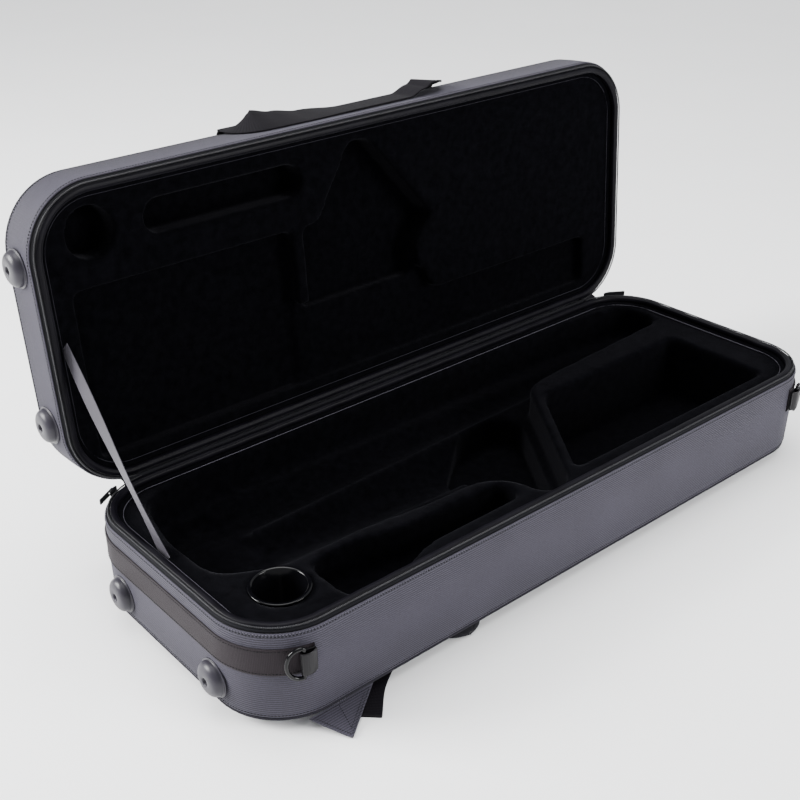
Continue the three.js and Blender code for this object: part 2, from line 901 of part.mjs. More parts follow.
// The cloth hinge, arched between the top edge of the back wall and the edge of the open lid.
function hingeTape() {
  const middle = halfWidth - skinThickness / 2;
  const [fromY, fromZ] = [middle, baseHeight + fitGap];
  const [edgeY, edgeZ] = opened(middle, lidEdgeHeight);
  const run = edgeY - fitGap - fromY;
  const archShares = [
    [0, 0],
    [0.06, 0.7],
    [0.38, 1],
    [0.76, 0.68],
  ];
  const line = archShares.map(([along, up]) => [fromY + along * run, fromZ + up * hingeTapeArch]);
  line.push([edgeY - fitGap, edgeZ]);
  const side = (sign) =>
    line.map(([y, z], i) => {
      const before = line[Math.max(i - 1, 0)];
      const after = line[Math.min(i + 1, line.length - 1)];
      const normal = new THREE.Vector2(before[1] - after[1], after[0] - before[0]);
      normal.setLength((sign * hingeTapeThickness) / 2);
      return [y + normal.x, z + normal.y];
    });
  return alongX([...side(1), ...side(-1).reverse()], -cornerX, cornerX);
}

// A sewn anchor on the lid's outer face: it bends over the edge and stops at the handle's rolled eye.
function handleAnchor() {
  const bend = handleEye / 2 + fitGap;
  const reach = bend * Math.SQRT1_2;
  const half = (anchorThickness / 2) * Math.SQRT1_2;
  const [tipY, tipZ] = [-handleAxisOut + reach, -handleAxisDrop + reach];
  const profile = [
    [anchorLength, fitGap],
    [-fitGap, fitGap],
    [tipY + half, tipZ - half],
    [tipY - half, tipZ + half],
    [tipY + half, fitGap + anchorThickness],
    [anchorLength, fitGap + anchorThickness],
  ];
  return alongX(profile, -handleWidth / 2, handleWidth / 2);
}

// The webbing handle, drawn about its hinge line: a quarter turn, a run along the wall, a quarter turn back.
// Two tables follow it from its left eye: how far it rises off the wall, and how far it leans out.
// At the left one edge lies on the wall and the other leans out, then it lies flat, then it arches.
const riseShares = [
  [0, 0],
  [0.05, 0.3],
  [0.1, 0.42],
  [0.2, 0.24],
  [0.32, 0.06],
  [0.52, -0.09],
  [0.78, -0.09],
  [0.86, 0.35],
  [0.9, 0.68],
  [0.955, 0.4],
  [1, 0],
];
const leanShares = [
  [0, 0],
  [0.05, 0.8],
  [0.1, 1],
  [0.2, 0.64],
  [0.32, 0.34],
  [0.52, 0],
  [1, 0],
];
function shareAt(table, place) {
  const next = Math.max(table.findIndex(([share]) => share >= place), 1);
  const [[fromShare, from], [toShare, to]] = [table[next - 1], table[next]];
  return THREE.MathUtils.lerp(from, to, THREE.MathUtils.smoothstep(place, fromShare, toShare));
}

function handleStrap() {
  const run = handleReach - handleTurn;
  const turnLength = (handleTurn * Math.PI) / 2;
  const total = 2 * (turnLength + run);
  const plan = [];
  for (let i = 0; i < handleTurnSteps; i++) {
    const share = i / handleTurnSteps;
    const angle = (share * Math.PI) / 2;
    const [out, down] = [Math.cos(angle), Math.sin(angle)];
    const length = share * turnLength;
    plan.push({ x: -run - handleTurn * out, drop: handleTurn * down, acrossX: -out, down, length });
  }
  for (let i = 0; i < handleRunSteps; i++) {
    const along = (2 * run * i) / handleRunSteps;
    plan.push({ x: along - run, drop: handleTurn, acrossX: 0, down: 1, length: turnLength + along });
  }
  for (let i = 0; i <= handleTurnSteps; i++) {
    const share = i / handleTurnSteps;
    const angle = (share * Math.PI) / 2;
    const [out, down] = [Math.sin(angle), Math.cos(angle)];
    const length = turnLength + 2 * run + share * turnLength;
    plan.push({ x: run + handleTurn * out, drop: handleTurn * down, acrossX: out, down, length });
  }
  const stations = plan.map(({ x, drop, acrossX, down, length }) => {
    const place = Math.min(length / total, 1);
    const lean = THREE.MathUtils.degToRad(shareAt(leanShares, place) * handleLean);
    return {
      middle: at(x, -shareAt(riseShares, place) * handleBulge, -drop),
      across: at(acrossX, Math.sin(lean), -down * Math.cos(lean)).setLength(handleWidth / 2),
    };
  });
  const eyes = [-handleReach, handleReach].map((x) =>
    new THREE.CylinderGeometry(handleEye / 2, handleEye / 2, handleWidth, cordSides * 2)
      .rotateZ(Math.PI / 2)
      .translate(x, 0, 0),
  );
  return join([strap(stations, handleThickness), ...eyes]);
}

// What the base and the lid have in common. The zip starts at the first corner past the hinge side.
function addHalf(parent, prefix, height, firstCorner, insert) {
  add(parent, prefix + "_cover", coverSkin(height), nylon);
  add(parent, prefix + "_shell", trayShell(height), board);
  add(parent, prefix + "_piping", seamPiping(), binding);
  add(parent, prefix + "_lip", rimLip(height), vinyl);
  add(parent, prefix + "_zip_tape", zipTape(height, firstCorner), zipCloth);
  add(parent, prefix + "_zip_coil", zipCoil(height, firstCorner), zipNylon);
  add(parent, prefix + "_insert", insert, plush);
}

const tenorSaxophoneCase = new THREE.Group();
tenorSaxophoneCase.name = "tenor_saxophone_case";
tenorSaxophoneCase.position.set(0, -openCentreY, footHeight);
const [toLeft, toBack, toFront, toFloor] = [at(-1, 0, 0), at(0, 1, 0), at(0, -1, 0), at(0, 0, -1)];
const sides = [
  { name: "left", mirrored: false },
  { name: "right", mirrored: true },
];

// Base
const base = new THREE.Group();
tenorSaxophoneCase.add(base);
addHalf(base, "base", baseHeight, 0, baseInsert());
const cup = add(base, "mouthpiece_cup", cupShell(), glossPlastic);
cup.position.set(cupPlaceShares[0] * halfLength, cupPlaceShares[1] * halfWidth, baseHeight - insertDrop);
addFeet(base, toLeft, [
  ["base_end_foot_front", -halfLength, -endFootSpread, endFootRise],
  ["base_end_foot_back", -halfLength, endFootSpread, endFootRise],
]);
addFeet(base, toBack, [
  ["base_spine_foot_left", -spineFootX, halfWidth, endFootRise],
  ["base_spine_foot_right", spineFootX, halfWidth, endFootRise],
]);
addFeet(base, toFloor, [
  ["base_bottom_foot_front_left", -bottomFootX, -bottomFootY, 0],
  ["base_bottom_foot_back_left", -bottomFootX, bottomFootY, 0],
  ["base_bottom_foot_front_right", bottomFootX, -bottomFootY, 0],
  ["base_bottom_foot_back_right", bottomFootX, bottomFootY, 0],
]);

// Bands, rings and sliders come in a left and a right version
const bandMiddle = baseHeight - bandDrop - bandWidth / 2;
const ringPlace = { degrees: ringDegrees - 180, cornerY: -cornerY, out: ringOut, z: bandMiddle };
const sliderOut = sliderProud - sliderPlate;
const sliderLevel = baseHeight + zipZone - sliderDrop;
const sliderPlace = { degrees: 90 + sliderDegrees, cornerY, out: sliderOut, z: sliderLevel };
const pullPlace = { ...sliderPlace, out: sliderOut + pullRise };
for (const side of sides) {
  add(base, "end_band_" + side.name, side.mirrored ? mirrorX(endBand()) : endBand(), bandCloth);
  atCorner(base, "ring_tab", side, ringTab(), webbing, ringPlace);
  atCorner(base, "d_ring", side, dRing(), glossPlastic, ringPlace);
  atCorner(base, "zip_slider", side, zipSlider(), sliderMetal, sliderPlace);
  atCorner(base, "zip_pull", side, zipPull(), sliderMetal, pullPlace);
}

// Wings, webbing and padded straps under the base, front and back
for (const [name, front] of [
  ["front", 1],
  ["back", -1],
]) {
  add(base, "strap_wing_" + name, strapWing(front), nylon);
  add(base, "strap_webbing_" + name, wingWebbing(front), webbing);
  add(base, "shoulder_strap_" + name, paddedStrap(front), padCloth);
}
const patch = prism(rectangle(patchLength, patchWidth, pocketCorner), -fitGap - patchThickness, -fitGap);
add(base, "strap_patch", patch, nylon).position.x = patchX;

// Cloth between the halves
add(tenorSaxophoneCase, "hinge_tape", hingeTape(), nylon);
add(tenorSaxophoneCase, "stay_ribbon", stayRibbon(), ribbonCloth);

// Lid: its hinge line carries it shut, and inside that it is turned over from its own flat side
const lid = new THREE.Group();
lid.position.set(0, hingeY, hingeZ);
lid.rotation.x = -openTurn;
tenorSaxophoneCase.add(lid);
const shutLid = new THREE.Group();
shutLid.position.set(0, -hingeY, closedHeight - hingeZ);
lid.add(shutLid);
const lidTurned = new THREE.Group();
lidTurned.rotation.x = Math.PI;
shutLid.add(lidTurned);
addHalf(lidTurned, "lid", lidHeight, 2, lidInsert());
addFeet(lidTurned, toLeft, [
  ["lid_end_foot_front", -halfLength, endFootSpread, lidHeight / 2],
  ["lid_end_foot_back", -halfLength, -endFootSpread, lidHeight / 2],
]);
addFeet(lidTurned, toFront, [
  ["lid_spine_foot_left", -spineFootX, -halfWidth, lidHeight / 2],
  ["lid_spine_foot_right", spineFootX, -halfWidth, lidHeight / 2],
]);
for (const side of sides) {
  const anchor = add(shutLid, "lid_handle_anchor_" + side.name, handleAnchor(), webbing);
  anchor.position.set(handleMiddle + (side.mirrored ? handleReach : -handleReach), -halfWidth, 0);
}
const handle = add(shutLid, "lid_handle_strap", handleStrap(), webbing);
handle.position.set(handleMiddle, -halfWidth - handleAxisOut, -handleAxisDrop);

export default tenorSaxophoneCase;
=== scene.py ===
# %% [markdown]
# A zipped tenor saxophone case lies open on a pale floor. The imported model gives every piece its
# place and size. This script dresses it: cloth with real ribs, stitches, zip teeth, plush and moulded
# plastic, each one worked out as a surface from a formula.

# %% Load the frame
import json
import math

import bmesh
import bpy
import numpy as np
from mathutils import Matrix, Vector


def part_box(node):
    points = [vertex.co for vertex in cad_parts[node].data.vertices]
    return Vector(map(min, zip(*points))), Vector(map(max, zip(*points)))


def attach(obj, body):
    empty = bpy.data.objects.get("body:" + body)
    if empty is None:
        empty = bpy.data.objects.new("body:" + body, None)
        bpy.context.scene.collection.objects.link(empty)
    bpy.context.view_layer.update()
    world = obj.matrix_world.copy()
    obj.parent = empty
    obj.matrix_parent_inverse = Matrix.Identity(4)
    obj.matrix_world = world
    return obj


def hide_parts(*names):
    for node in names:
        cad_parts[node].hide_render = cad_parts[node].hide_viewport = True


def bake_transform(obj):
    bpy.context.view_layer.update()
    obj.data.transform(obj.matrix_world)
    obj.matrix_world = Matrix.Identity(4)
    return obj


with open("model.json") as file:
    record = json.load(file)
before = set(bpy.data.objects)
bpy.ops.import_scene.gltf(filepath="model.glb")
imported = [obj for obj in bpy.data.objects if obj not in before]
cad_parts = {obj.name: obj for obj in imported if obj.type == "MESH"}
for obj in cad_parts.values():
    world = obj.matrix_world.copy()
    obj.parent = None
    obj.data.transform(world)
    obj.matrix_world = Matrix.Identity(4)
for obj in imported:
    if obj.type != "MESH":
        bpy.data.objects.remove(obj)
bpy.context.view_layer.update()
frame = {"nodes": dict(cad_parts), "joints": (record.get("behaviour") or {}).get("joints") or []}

# %% [markdown]
# Everything follows from a few sizes of the real case. The frame gives the length, the width, the
# height of the base and the hinge line, and the rest are sizes of the cloth, the rim and the zip.
# All the formulas start from the middle of the base's flat underside. Home is where that spot lies
# in the frame, whose origin is on the floor under the middle of the open case.

# %% Driving sizes
MM = 0.001
home = np.array([0, -28, 12]) * MM
half_length, half_width, base_height = (float(number) for number in np.array(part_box("base_cover")[1]) - home)
corner_radius = 75 * MM
core_x = half_length - corner_radius
core_y = half_width - corner_radius
lid_height = 58 * MM
zip_zone = 5.8 * MM
closed_height = base_height + 2 * zip_zone + lid_height
hinge = next(joint for joint in frame["joints"] if joint["name"] == "lid_hinge")
hinge_y, hinge_z = (np.array(hinge["pos_m"]) - home)[1:]
open_turn = math.radians(hinge["range_deg"][1])
fit_gap = 0.3 * MM
cloth = 1.6 * MM
seam_notch = 5.4 * MM
rib_pitch = 2.6 * MM
rib_depth = 0.32 * MM
print("Shut, the case is", round(closed_height / MM, 1), "mm thick")

# %% [markdown]
# The plan of the case is a rectangle with round corners. Walking round it, a point is a spot on a
# smaller core rectangle plus a radius that turns only at the corners. Three calls of interp give
# the spot and the turn for any distance walked, so every band, cord and seam can share them.

# %% Walk round the plan
quarter = corner_radius * math.pi / 2
legs = np.array([core_x, quarter, 2 * core_y, quarter, 2 * core_x, quarter, 2 * core_y, quarter, core_x])
stops = np.concatenate([[0.0], np.cumsum(legs)])
whole_way = stops[-1]
spot_x = core_x * np.array([0, -1, -1, -1, -1, 1, 1, 1, 1, 0])
spot_y = core_y * np.array([1, 1, 1, -1, -1, -1, -1, 1, 1, 1])
facing = np.pi / 2 * np.array([1, 1, 2, 2, 3, 3, 4, 4, 5, 5])


def walk(travel):
    """Core spots and outward directions at distances walked from the middle of the back wall.

    The way runs anticlockwise seen from above, and the spot plus radius times direction is the wall."""
    on_way = np.mod(travel, whole_way)
    turn = np.interp(on_way, stops, facing)
    spot = np.stack([np.interp(on_way, stops, spot_x), np.interp(on_way, stops, spot_y)], -1)
    return spot, np.stack([np.cos(turn), np.sin(turn)], -1)


def ways(start, end, corner_steps=14, straight_steps=6):
    """Distances from start to end, close together at the corners and far apart on the straights."""
    marks = [start, end]
    for lap in (0, 1):
        for leg in range(len(legs)):
            steps = corner_steps if leg % 2 else straight_steps
            marks.extend(lap * whole_way + np.linspace(stops[leg], stops[leg + 1], steps + 1))
    digits = 7
    slack = 10.0**-digits
    marks = np.unique(np.round(marks, digits))
    return marks[(marks >= start - slack) & (marks <= end + slack)]


def carried(section, travel):
    """A section of [inset, height] points carried along the walls.

    Each point is the spot plus the radius less the inset, times the direction."""
    spot, out = walk(travel)
    reach = corner_radius - section[None, :, 0, None]
    plan = spot[:, None, :] + reach * out[:, None, :]
    heights = np.broadcast_to(section[None, :, 1, None], plan.shape[:2] + (1,))
    return np.concatenate([plan, heights], -1)


print("Once round the case is", round(whole_way, 3), "m")

# %% [markdown]
# The lid is built in its own frame, lying on its flat side, exactly like the base. It is then turned
# over onto the shut base and swung open about the hinge line, so one recipe serves both halves.

# %% Place the two halves


def swung_open(points):
    """Points of the shut case turned about the hinge line by the open angle: a plane rotation in Y and Z."""
    x, y, z = np.moveaxis(points, -1, 0)
    from_y, from_z = y - hinge_y, z - hinge_z
    cos, sin = math.cos(open_turn), math.sin(open_turn)
    return np.stack([x, hinge_y + from_y * cos + from_z * sin, hinge_z + from_z * cos - from_y * sin], -1)


def on_base(points):
    """The base's own frame is the case's frame."""
    return points


def on_lid(points):
    """Half a turn about X puts the lid's flat side up at the closed height, then it swings open."""
    return swung_open(points * np.array([1, -1, -1]) + np.array([0, 0, closed_height]))


def aimed(place, directions):
    """Directions turned the way that place turns points: its shift drops out of the difference."""
    return place(directions) - place(np.zeros(3))


print("The lid's outer edge stands at", np.round(on_lid(np.array([0, half_width, 0])), 3))

# %% [markdown]
# Every new piece is a grid of points. One helper joins the grid into quads, closes it where it meets
# itself, caps its ends and stores the distances along and across as UV, in metres, so that a weave
# keeps its real scale on any shape. Others carry a section round the case or along a line, and
# repeat a small template many times. They could also be modelled by hand, but this way a new size
# of the case only needs a new number.

# %% Make a mesh from a grid


def placed(name, data):
    """A new object linked into the scene, at the origin and unturned."""
    made = bpy.data.objects.new(name, data)
    bpy.context.scene.collection.objects.link(made)
    return made


def shade_faces(mesh, smooth=True):
    """All faces smooth, or all of them flat."""
    mesh.polygons.foreach_set("use_smooth", np.full(len(mesh.polygons), smooth))


def inside_out(points, faces):
    """True if the volume, a sum of triple products of each quad's corners, comes out negative."""
    a, b, c, d = (points[faces[:, corner]] for corner in range(4))
    volume = np.einsum("ij,ij->", a, np.cross(b, c)) + np.einsum("ij,ij->", a, np.cross(c, d))
    return volume < 0


def surface(name, grid, along, across, caps=True):
    """A mesh over grid[i, j], moved home. A distance list one longer than the grid closes it that way."""
    rows, columns = grid.shape[:2]
    points = grid.reshape(-1, 3)
    i, j = np.meshgrid(np.arange(len(along) - 1), np.arange(len(across) - 1), indexing="ij")
    corners = ((0, 0), (1, 0), (1, 1), (0, 1))
    faces = np.stack([((i + a) % rows) * columns + (j + b) % columns for a, b in corners], -1).reshape(-1, 4)
    uv = np.stack([np.stack([along[i + a], across[j + b]], -1) for a, b in corners], 2).reshape(-1, 2)
    ends = []
    if caps and len(along) == rows and len(across) == columns + 1:
        ends = [list(range(columns))[::-1], list(range((rows - 1) * columns, rows * columns))]
    if inside_out(points, faces):
        faces = faces[:, ::-1]
        uv = uv.reshape(-1, 4, 2)[:, ::-1].reshape(-1, 2)
        ends = [end[::-1] for end in ends]
    mesh = bpy.data.meshes.new(name)
    mesh.from_pydata((points + home).tolist(), [], faces.tolist() + ends)
    layer = mesh.uv_layers.new(name="cloth")
    extra = sum(len(end) for end in ends)
    layer.data.foreach_set("uv", np.concatenate([uv, np.zeros((extra, 2))]).astype(np.float32).ravel())
    shade_faces(mesh)
    mesh.validate()
    return placed(name, mesh)


def lengths(points, closed=False):
    """Distances walked along a line of points, with one more at the end if it closes on itself."""
    line = np.concatenate([points, points[:1]]) if closed else points
    return np.concatenate([[0.0], np.cumsum(np.linalg.norm(np.diff(line, axis=0), axis=-1))])


def all_round(name, section, place):
    """A section carried once round the plan and closed on itself."""
    travel = ways(0, whole_way)[:-1]
    grid = place(carried(section, travel))
    return surface(name, grid, np.append(travel, whole_way), lengths(section, True))


def part_way(name, section, travel, place):
    """A section carried along part of the walls, with capped ends."""
    return surface(name, place(carried(section, travel)), travel, lengths(section, True))


def round_bar(width, thickness, side_steps=6, power=0.35):
    """A flat bar with round edges: signed powers of cosine and sine, a superellipse."""
    turn = np.linspace(0, 2 * np.pi, 4 * side_steps, endpoint=False)
    rounded = np.stack([np.cos(turn), np.sin(turn)], -1)
    return np.sign(rounded) * np.abs(rounded) ** power * np.array([width / 2, thickness / 2])


def strap(name, middle, across, section, sizes=None):
    """A section carried along a line: point = middle + a x across + b x normal.

    The normal is the cross product of the line's direction and the across direction, and sizes
    scales the section at each station."""
    direction = np.gradient(middle, axis=0)
    direction /= np.linalg.norm(direction, axis=-1, keepdims=True)
    across = np.broadcast_to(across, middle.shape)
    across = across / np.linalg.norm(across, axis=-1, keepdims=True)
    normal = np.cross(direction, across)
    normal /= np.linalg.norm(normal, axis=-1, keepdims=True)
    scale = np.ones((len(middle), 2)) if sizes is None else sizes
    grid = (
        middle[:, None]
        + section[None, :, :1] * scale[:, None, :1] * across[:, None]
        + section[None, :, 1:] * scale[:, None, 1:] * normal[:, None]
    )
    return surface(name, grid, lengths(middle), lengths(section, True))


def scatter(name, template, faces, origins, axes):
    """Copies of a small template: point = origin + x along + y across + z up, for all copies at once."""
    points = origins[:, None] + np.einsum("kc,ncd->nkd", template, axes)
    steps = np.arange(len(origins))[:, None, None] * len(template)
    all_faces = (faces[None] + steps).reshape(-1, 4)
    mesh = bpy.data.meshes.new(name)
    mesh.from_pydata((points.reshape(-1, 3) + home).tolist(), [], all_faces.tolist())
    shade_faces(mesh)
    return placed(name, mesh)


def bead(length, width, height):
    """A closed bead: rings of an ellipsoid along X, with two quads over each small flat end.

    A point's girth is the root of one less the square of its place. Returns points and quads."""
    sides = 6
    places = np.array([-0.98, -0.7, 0, 0.7, 0.98])
    turn = np.linspace(0, 2 * np.pi, sides, endpoint=False)
    girth = np.sqrt(1 - places**2)
    x = np.repeat(places * length / 2, sides)
    y = (girth[:, None] * np.cos(turn) * width / 2).ravel()
    z = (girth[:, None] * np.sin(turn) * height / 2).ravel()
    ring, side = np.meshgrid(np.arange(len(places) - 1), np.arange(sides), indexing="ij")
    low, high, after = ring * sides, (ring + 1) * sides, (side + 1) % sides
    quads = np.stack([high + side, high + after, low + after, low + side], -1).reshape(-1, 4)
    first_end = np.array([[0, 1, 2, 3], [0, 3, 4, 5]])
    last_end = first_end[:, ::-1] + (len(places) - 1) * sides
    return np.stack([x, y, z], -1), np.concatenate([quads, first_end, last_end])


print("A stitch has", len(bead(1, 1, 1)[1]), "faces")

# %% [markdown]
# Materials come before the pieces. All of them start from the same small helper, which makes the
# Principled shader and hands out nodes by name. Numbers that are the same all over a surface are
# set on the shader itself.

# %% Material helpers


class Finish:
    """A node material under construction, with short ways to add nodes and links."""

    def __init__(self, name, roughness, sheen=0.0, metallic=0.0, specular=0.5):
        self.material = bpy.data.materials.new(name)
        self.material.use_nodes = True
        self.tree = self.material.node_tree
        self.shader = self.tree.nodes["Principled BSDF"]
        self.shader.inputs["Roughness"].default_value = roughness
        self.shader.inputs["Sheen Weight"].default_value = sheen
        self.shader.inputs["Sheen Roughness"].default_value = 0.4
        self.shader.inputs["Metallic"].default_value = metallic
        self.shader.inputs["Specular IOR Level"].default_value = specular

    def node(self, kind, **values):
        made = self.tree.nodes.new(kind)
        for key, value in values.items():
            setattr(made, key, value)
        return made

    def link(self, source, target):
        self.tree.links.new(source, target)

    def coordinates(self, kind):
        return self.node("ShaderNodeTexCoord").outputs[kind]

    def noise(self, vector, scale, detail=3.0):
        made = self.node("ShaderNodeTexNoise")
        made.inputs["Scale"].default_value = scale
        made.inputs["Detail"].default_value = detail
        self.link(vector, made.inputs["Vector"])
        return made.outputs["Fac"]

    def math(self, operation, first, second=0.0):
        made = self.node("ShaderNodeMath", operation=operation)
        for socket, value in zip(made.inputs, (first, second)):
            if isinstance(value, (int, float)):
                socket.default_value = value
            else:
                self.link(value, socket)
        return made.outputs[0]

    def mix(self, first, second, share):
        """That share of the first value, and the rest of the second."""
        return self.math("ADD", self.math("MULTIPLY", first, share), self.math("MULTIPLY", second, 1 - share))

    def ramp(self, factor, stops_and_colours):
        made = self.node("ShaderNodeValToRGB")
        elements = made.color_ramp.elements
        while len(elements) < len(stops_and_colours):
            elements.new(0.5)
        for element, (place, colour) in zip(elements, stops_and_colours):
            element.position = place
            element.color = (*colour, 1)
        self.link(factor, made.inputs["Fac"])
        return made.outputs["Color"]

    def bump(self, height, distance, strength=1.0, under=None):
        made = self.node("ShaderNodeBump")
        made.inputs["Distance"].default_value = distance
        made.inputs["Strength"].default_value = strength
        self.link(height, made.inputs["Height"])
        if under is not None:
            self.link(under, made.inputs["Normal"])
        return made.outputs["Normal"]

    def use(self, colour=None, normal=None, roughness=None):
        for source, name in ((colour, "Base Color"), (normal, "Normal"), (roughness, "Roughness")):
            if source is not None:
                self.link(source, self.shader.inputs[name])
        return self.material


def waves(finish, coordinate, pitch):
    """A wave from 0 to 1 with that pitch: half of one plus the sine of the distance."""
    turning = finish.math("MULTIPLY", coordinate, 2 * math.pi / pitch)
    return finish.math("MULTIPLY_ADD", finish.math("SINE", turning), 0.5)


def shades(colour, *factors):
    """The same colour, darker or lighter by each factor."""
    return [tuple(channel * factor for channel in colour) for factor in factors]


# %% [markdown]
# The nylon of the outside is woven in cords a few millimetres apart. The cords themselves are geometry.
# The material adds the fine cross threads, a little dust and uneven dye, and bands of painted shade
# between the cords, where its across wave has the rib pitch.

# %% Cloth materials


def woven(name, colour, along_pitch, across_pitch, depth, roughness, sheen, contrast=0.35, specular=0.15):
    """Threads over and under: two waves multiplied, turned into shade and height.

    Worn is the slow stain of use, and fuzz the loose fibres. Together they are the uneven dye."""
    finish = Finish(name, roughness, sheen, specular=specular)
    uv = finish.coordinates("UV")
    parts = finish.node("ShaderNodeSeparateXYZ")
    finish.link(uv, parts.inputs["Vector"])
    over = waves(finish, parts.outputs["X"], along_pitch)
    # When the across pitch is the rib pitch, as on the nylon, this wave is painted shade in the grooves
    # between the cords.
    under = waves(finish, parts.outputs["Y"], across_pitch)
    threads = finish.math("MULTIPLY", over, under)
    space = finish.coordinates("Object")
    worn = finish.noise(space, 14, 4)
    fuzz = finish.noise(space, 900, 2)
    mixed = finish.mix(threads, finish.mix(worn, fuzz, 0.3), 0.55)
    dark, plain, light = shades(colour, 1 - contrast, 1, 1 + contrast)
    shade = finish.ramp(mixed, [(0.12, dark), (0.42, plain), (0.8, light)])
    height = finish.math("ADD", threads, finish.math("MULTIPLY", fuzz, 0.3))
    return finish.use(colour=shade, normal=finish.bump(height, depth, 0.7))


def plush_material():
    """Short pile: near black, with a soft sheen and a height of fine noise that clumps a little."""
    finish = Finish("plush", 1.0, sheen=0.03, specular=0.0)
    finish.shader.inputs["Sheen Tint"].default_value = (0.7, 0.7, 0.8, 1)
    space = finish.coordinates("Object")
    pile = finish.noise(space, 1500, 2)
    clumps = finish.noise(space, 110, 3)
    mixed = finish.mix(pile, clumps, 0.5)
    shade = finish.ramp(mixed, [(0.3, (0.0006, 0.0006, 0.0008)), (0.7, (0.0026, 0.0026, 0.0034))])
    return finish.use(colour=shade, normal=finish.bump(mixed, 0.9 * MM, 0.8))


# The across pitch is the rib pitch, so the colour darkens in bands between the cords: painted shade.
nylon = woven("nylon", (0.037, 0.034, 0.048), 0.9 * MM, rib_pitch, 0.12 * MM, 0.7, 0.06, 0.8, specular=0.2)
binding = woven("binding", (0.012, 0.011, 0.016), 1.1 * MM, 1.3 * MM, 0.2 * MM, 0.8, 0.05)
zip_cloth = woven("zip_cloth", (0.006, 0.006, 0.008), 0.8 * MM, 0.8 * MM, 0.12 * MM, 0.9, 0.03)
band_cloth = woven("band_cloth", (0.0122, 0.0085, 0.011), 1.6 * MM, 1.2 * MM, 0.3 * MM, 0.7, 0.04)
webbing = woven("webbing", (0.0045, 0.0038, 0.0055), 2.2 * MM, 1.4 * MM, 0.35 * MM, 0.7, 0.015, specular=0.08)
waxed_web = woven("waxed_web", (0.0035, 0.003, 0.0042), 2.2 * MM, 1.4 * MM, 0.12 * MM, 0.34, 0, specular=0.16)
pad_cloth = woven("pad_cloth", (0.014, 0.0135, 0.017), 1.0 * MM, 1.0 * MM, 0.15 * MM, 0.85, 0.08)
ribbon_cloth = woven("ribbon_cloth", (0.046, 0.042, 0.052), 0.5 * MM, 0.9 * MM, 0.06 * MM, 0.5, 0.1, 0.12)
thread = woven("thread", (0.005, 0.005, 0.006), 0.6 * MM, 0.6 * MM, 0.05 * MM, 0.7, 0.0)
# Pale thread for the edge stitches; on the base's welt its pale colour is a painted highlight.
pale_thread_and_highlight = woven("pale_thread_and_highlight", (0.085, 0.08, 0.1), 0.6 * MM, 0.6 * MM, 0.05 * MM, 0.7, 0.05)
plush = plush_material()
print("Cloth finishes:", len(bpy.data.materials))

# %% [markdown]
# The rim is soft vinyl with a fine grain, the feet are moulded with a slight orange peel, and the
# cup and rings are glossy. Each grain comes from noise or cells at its real size.

# %% Hard and coated materials


def moulded(name, colour, roughness, grain, depth, metallic=0.0, cells=False, specular=0.5):
    """A moulded skin: cell or noise grain as height, and a roughness that drifts from place to place."""
    finish = Finish(name, roughness, metallic=metallic, specular=specular)
    space = finish.coordinates("Object")
    drift = finish.noise(space, 35, 3)
    if cells:
        cell = finish.node("ShaderNodeTexVoronoi")
        cell.inputs["Scale"].default_value = grain
        finish.link(space, cell.inputs["Vector"])
        height = cell.outputs["Distance"]
    else:
        height = finish.noise(space, grain, 2)
    dark, light = shades(colour, 0.75, 1.25)
    shade = finish.ramp(drift, [(0.35, dark), (0.65, light)])
    spread = finish.node("ShaderNodeMapRange")
    spread.inputs["To Min"].default_value = roughness * 0.8
    spread.inputs["To Max"].default_value = roughness * 1.25
    finish.link(drift, spread.inputs["Value"])
    relief = finish.bump(height, depth, 0.6)
    return finish.use(colour=shade, normal=relief, roughness=spread.outputs["Result"])


vinyl = moulded("vinyl", (0.003, 0.0027, 0.0042), 0.42, 1300, 0.12 * MM, cells=True, specular=0.07)
foot_plastic = moulded("foot_plastic", (0.017, 0.015, 0.022), 0.38, 900, 0.03 * MM, specular=0.3)
gloss_plastic = moulded("gloss_plastic", (0.0015, 0.0015, 0.002), 0.1, 260, 0.03 * MM, specular=0.2)
rivet_metal = moulded("rivet_metal", (0.006, 0.006, 0.007), 0.4, 800, 0.02 * MM, metallic=0.3)
slider_metal = moulded("slider_metal", (0.01, 0.01, 0.012), 0.3, 700, 0.03 * MM, metallic=0.4)
zip_nylon = moulded("zip_nylon", (0.008, 0.008, 0.01), 0.4, 900, 0.03 * MM, specular=0.3)
board = moulded("board", (0.01, 0.01, 0.012), 0.9, 400, 0.15 * MM)
print("All finishes:", len(bpy.data.materials))

# %% [markdown]
# Dressing a piece means three things here: its material, the nodes that it stands for, and the body
# that it moves with. A piece that stands for no node is trim.
# The two trays inside the walls don't show, so they keep their plain solids.

# %% Dress a piece


def dress(piece, material, slot, body, *nodes):
    """Gives a piece its finish, the nodes it stands for and the body it rides on. The slot is not used."""
    piece.data.materials.append(material)
    if nodes:
        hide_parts(*nodes)
    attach(piece, body)
    return piece


for node_name in ("base_shell", "lid_shell"):
    node = frame["nodes"][node_name]
    node.data.materials.clear()
    node.data.materials.append(board)
print("The hidden trays keep their solids and get the board finish")

# %% [markdown]
# The skin of a wall is one strip of ribbed cloth. Its section climbs out of the seam, swells a little
# over the padding while each cord stands proud of it, rolls over the rim and comes back down inside.
# Because the cords run level all the way round, the ribs cost only more points in the section.

# %% Wall cloth


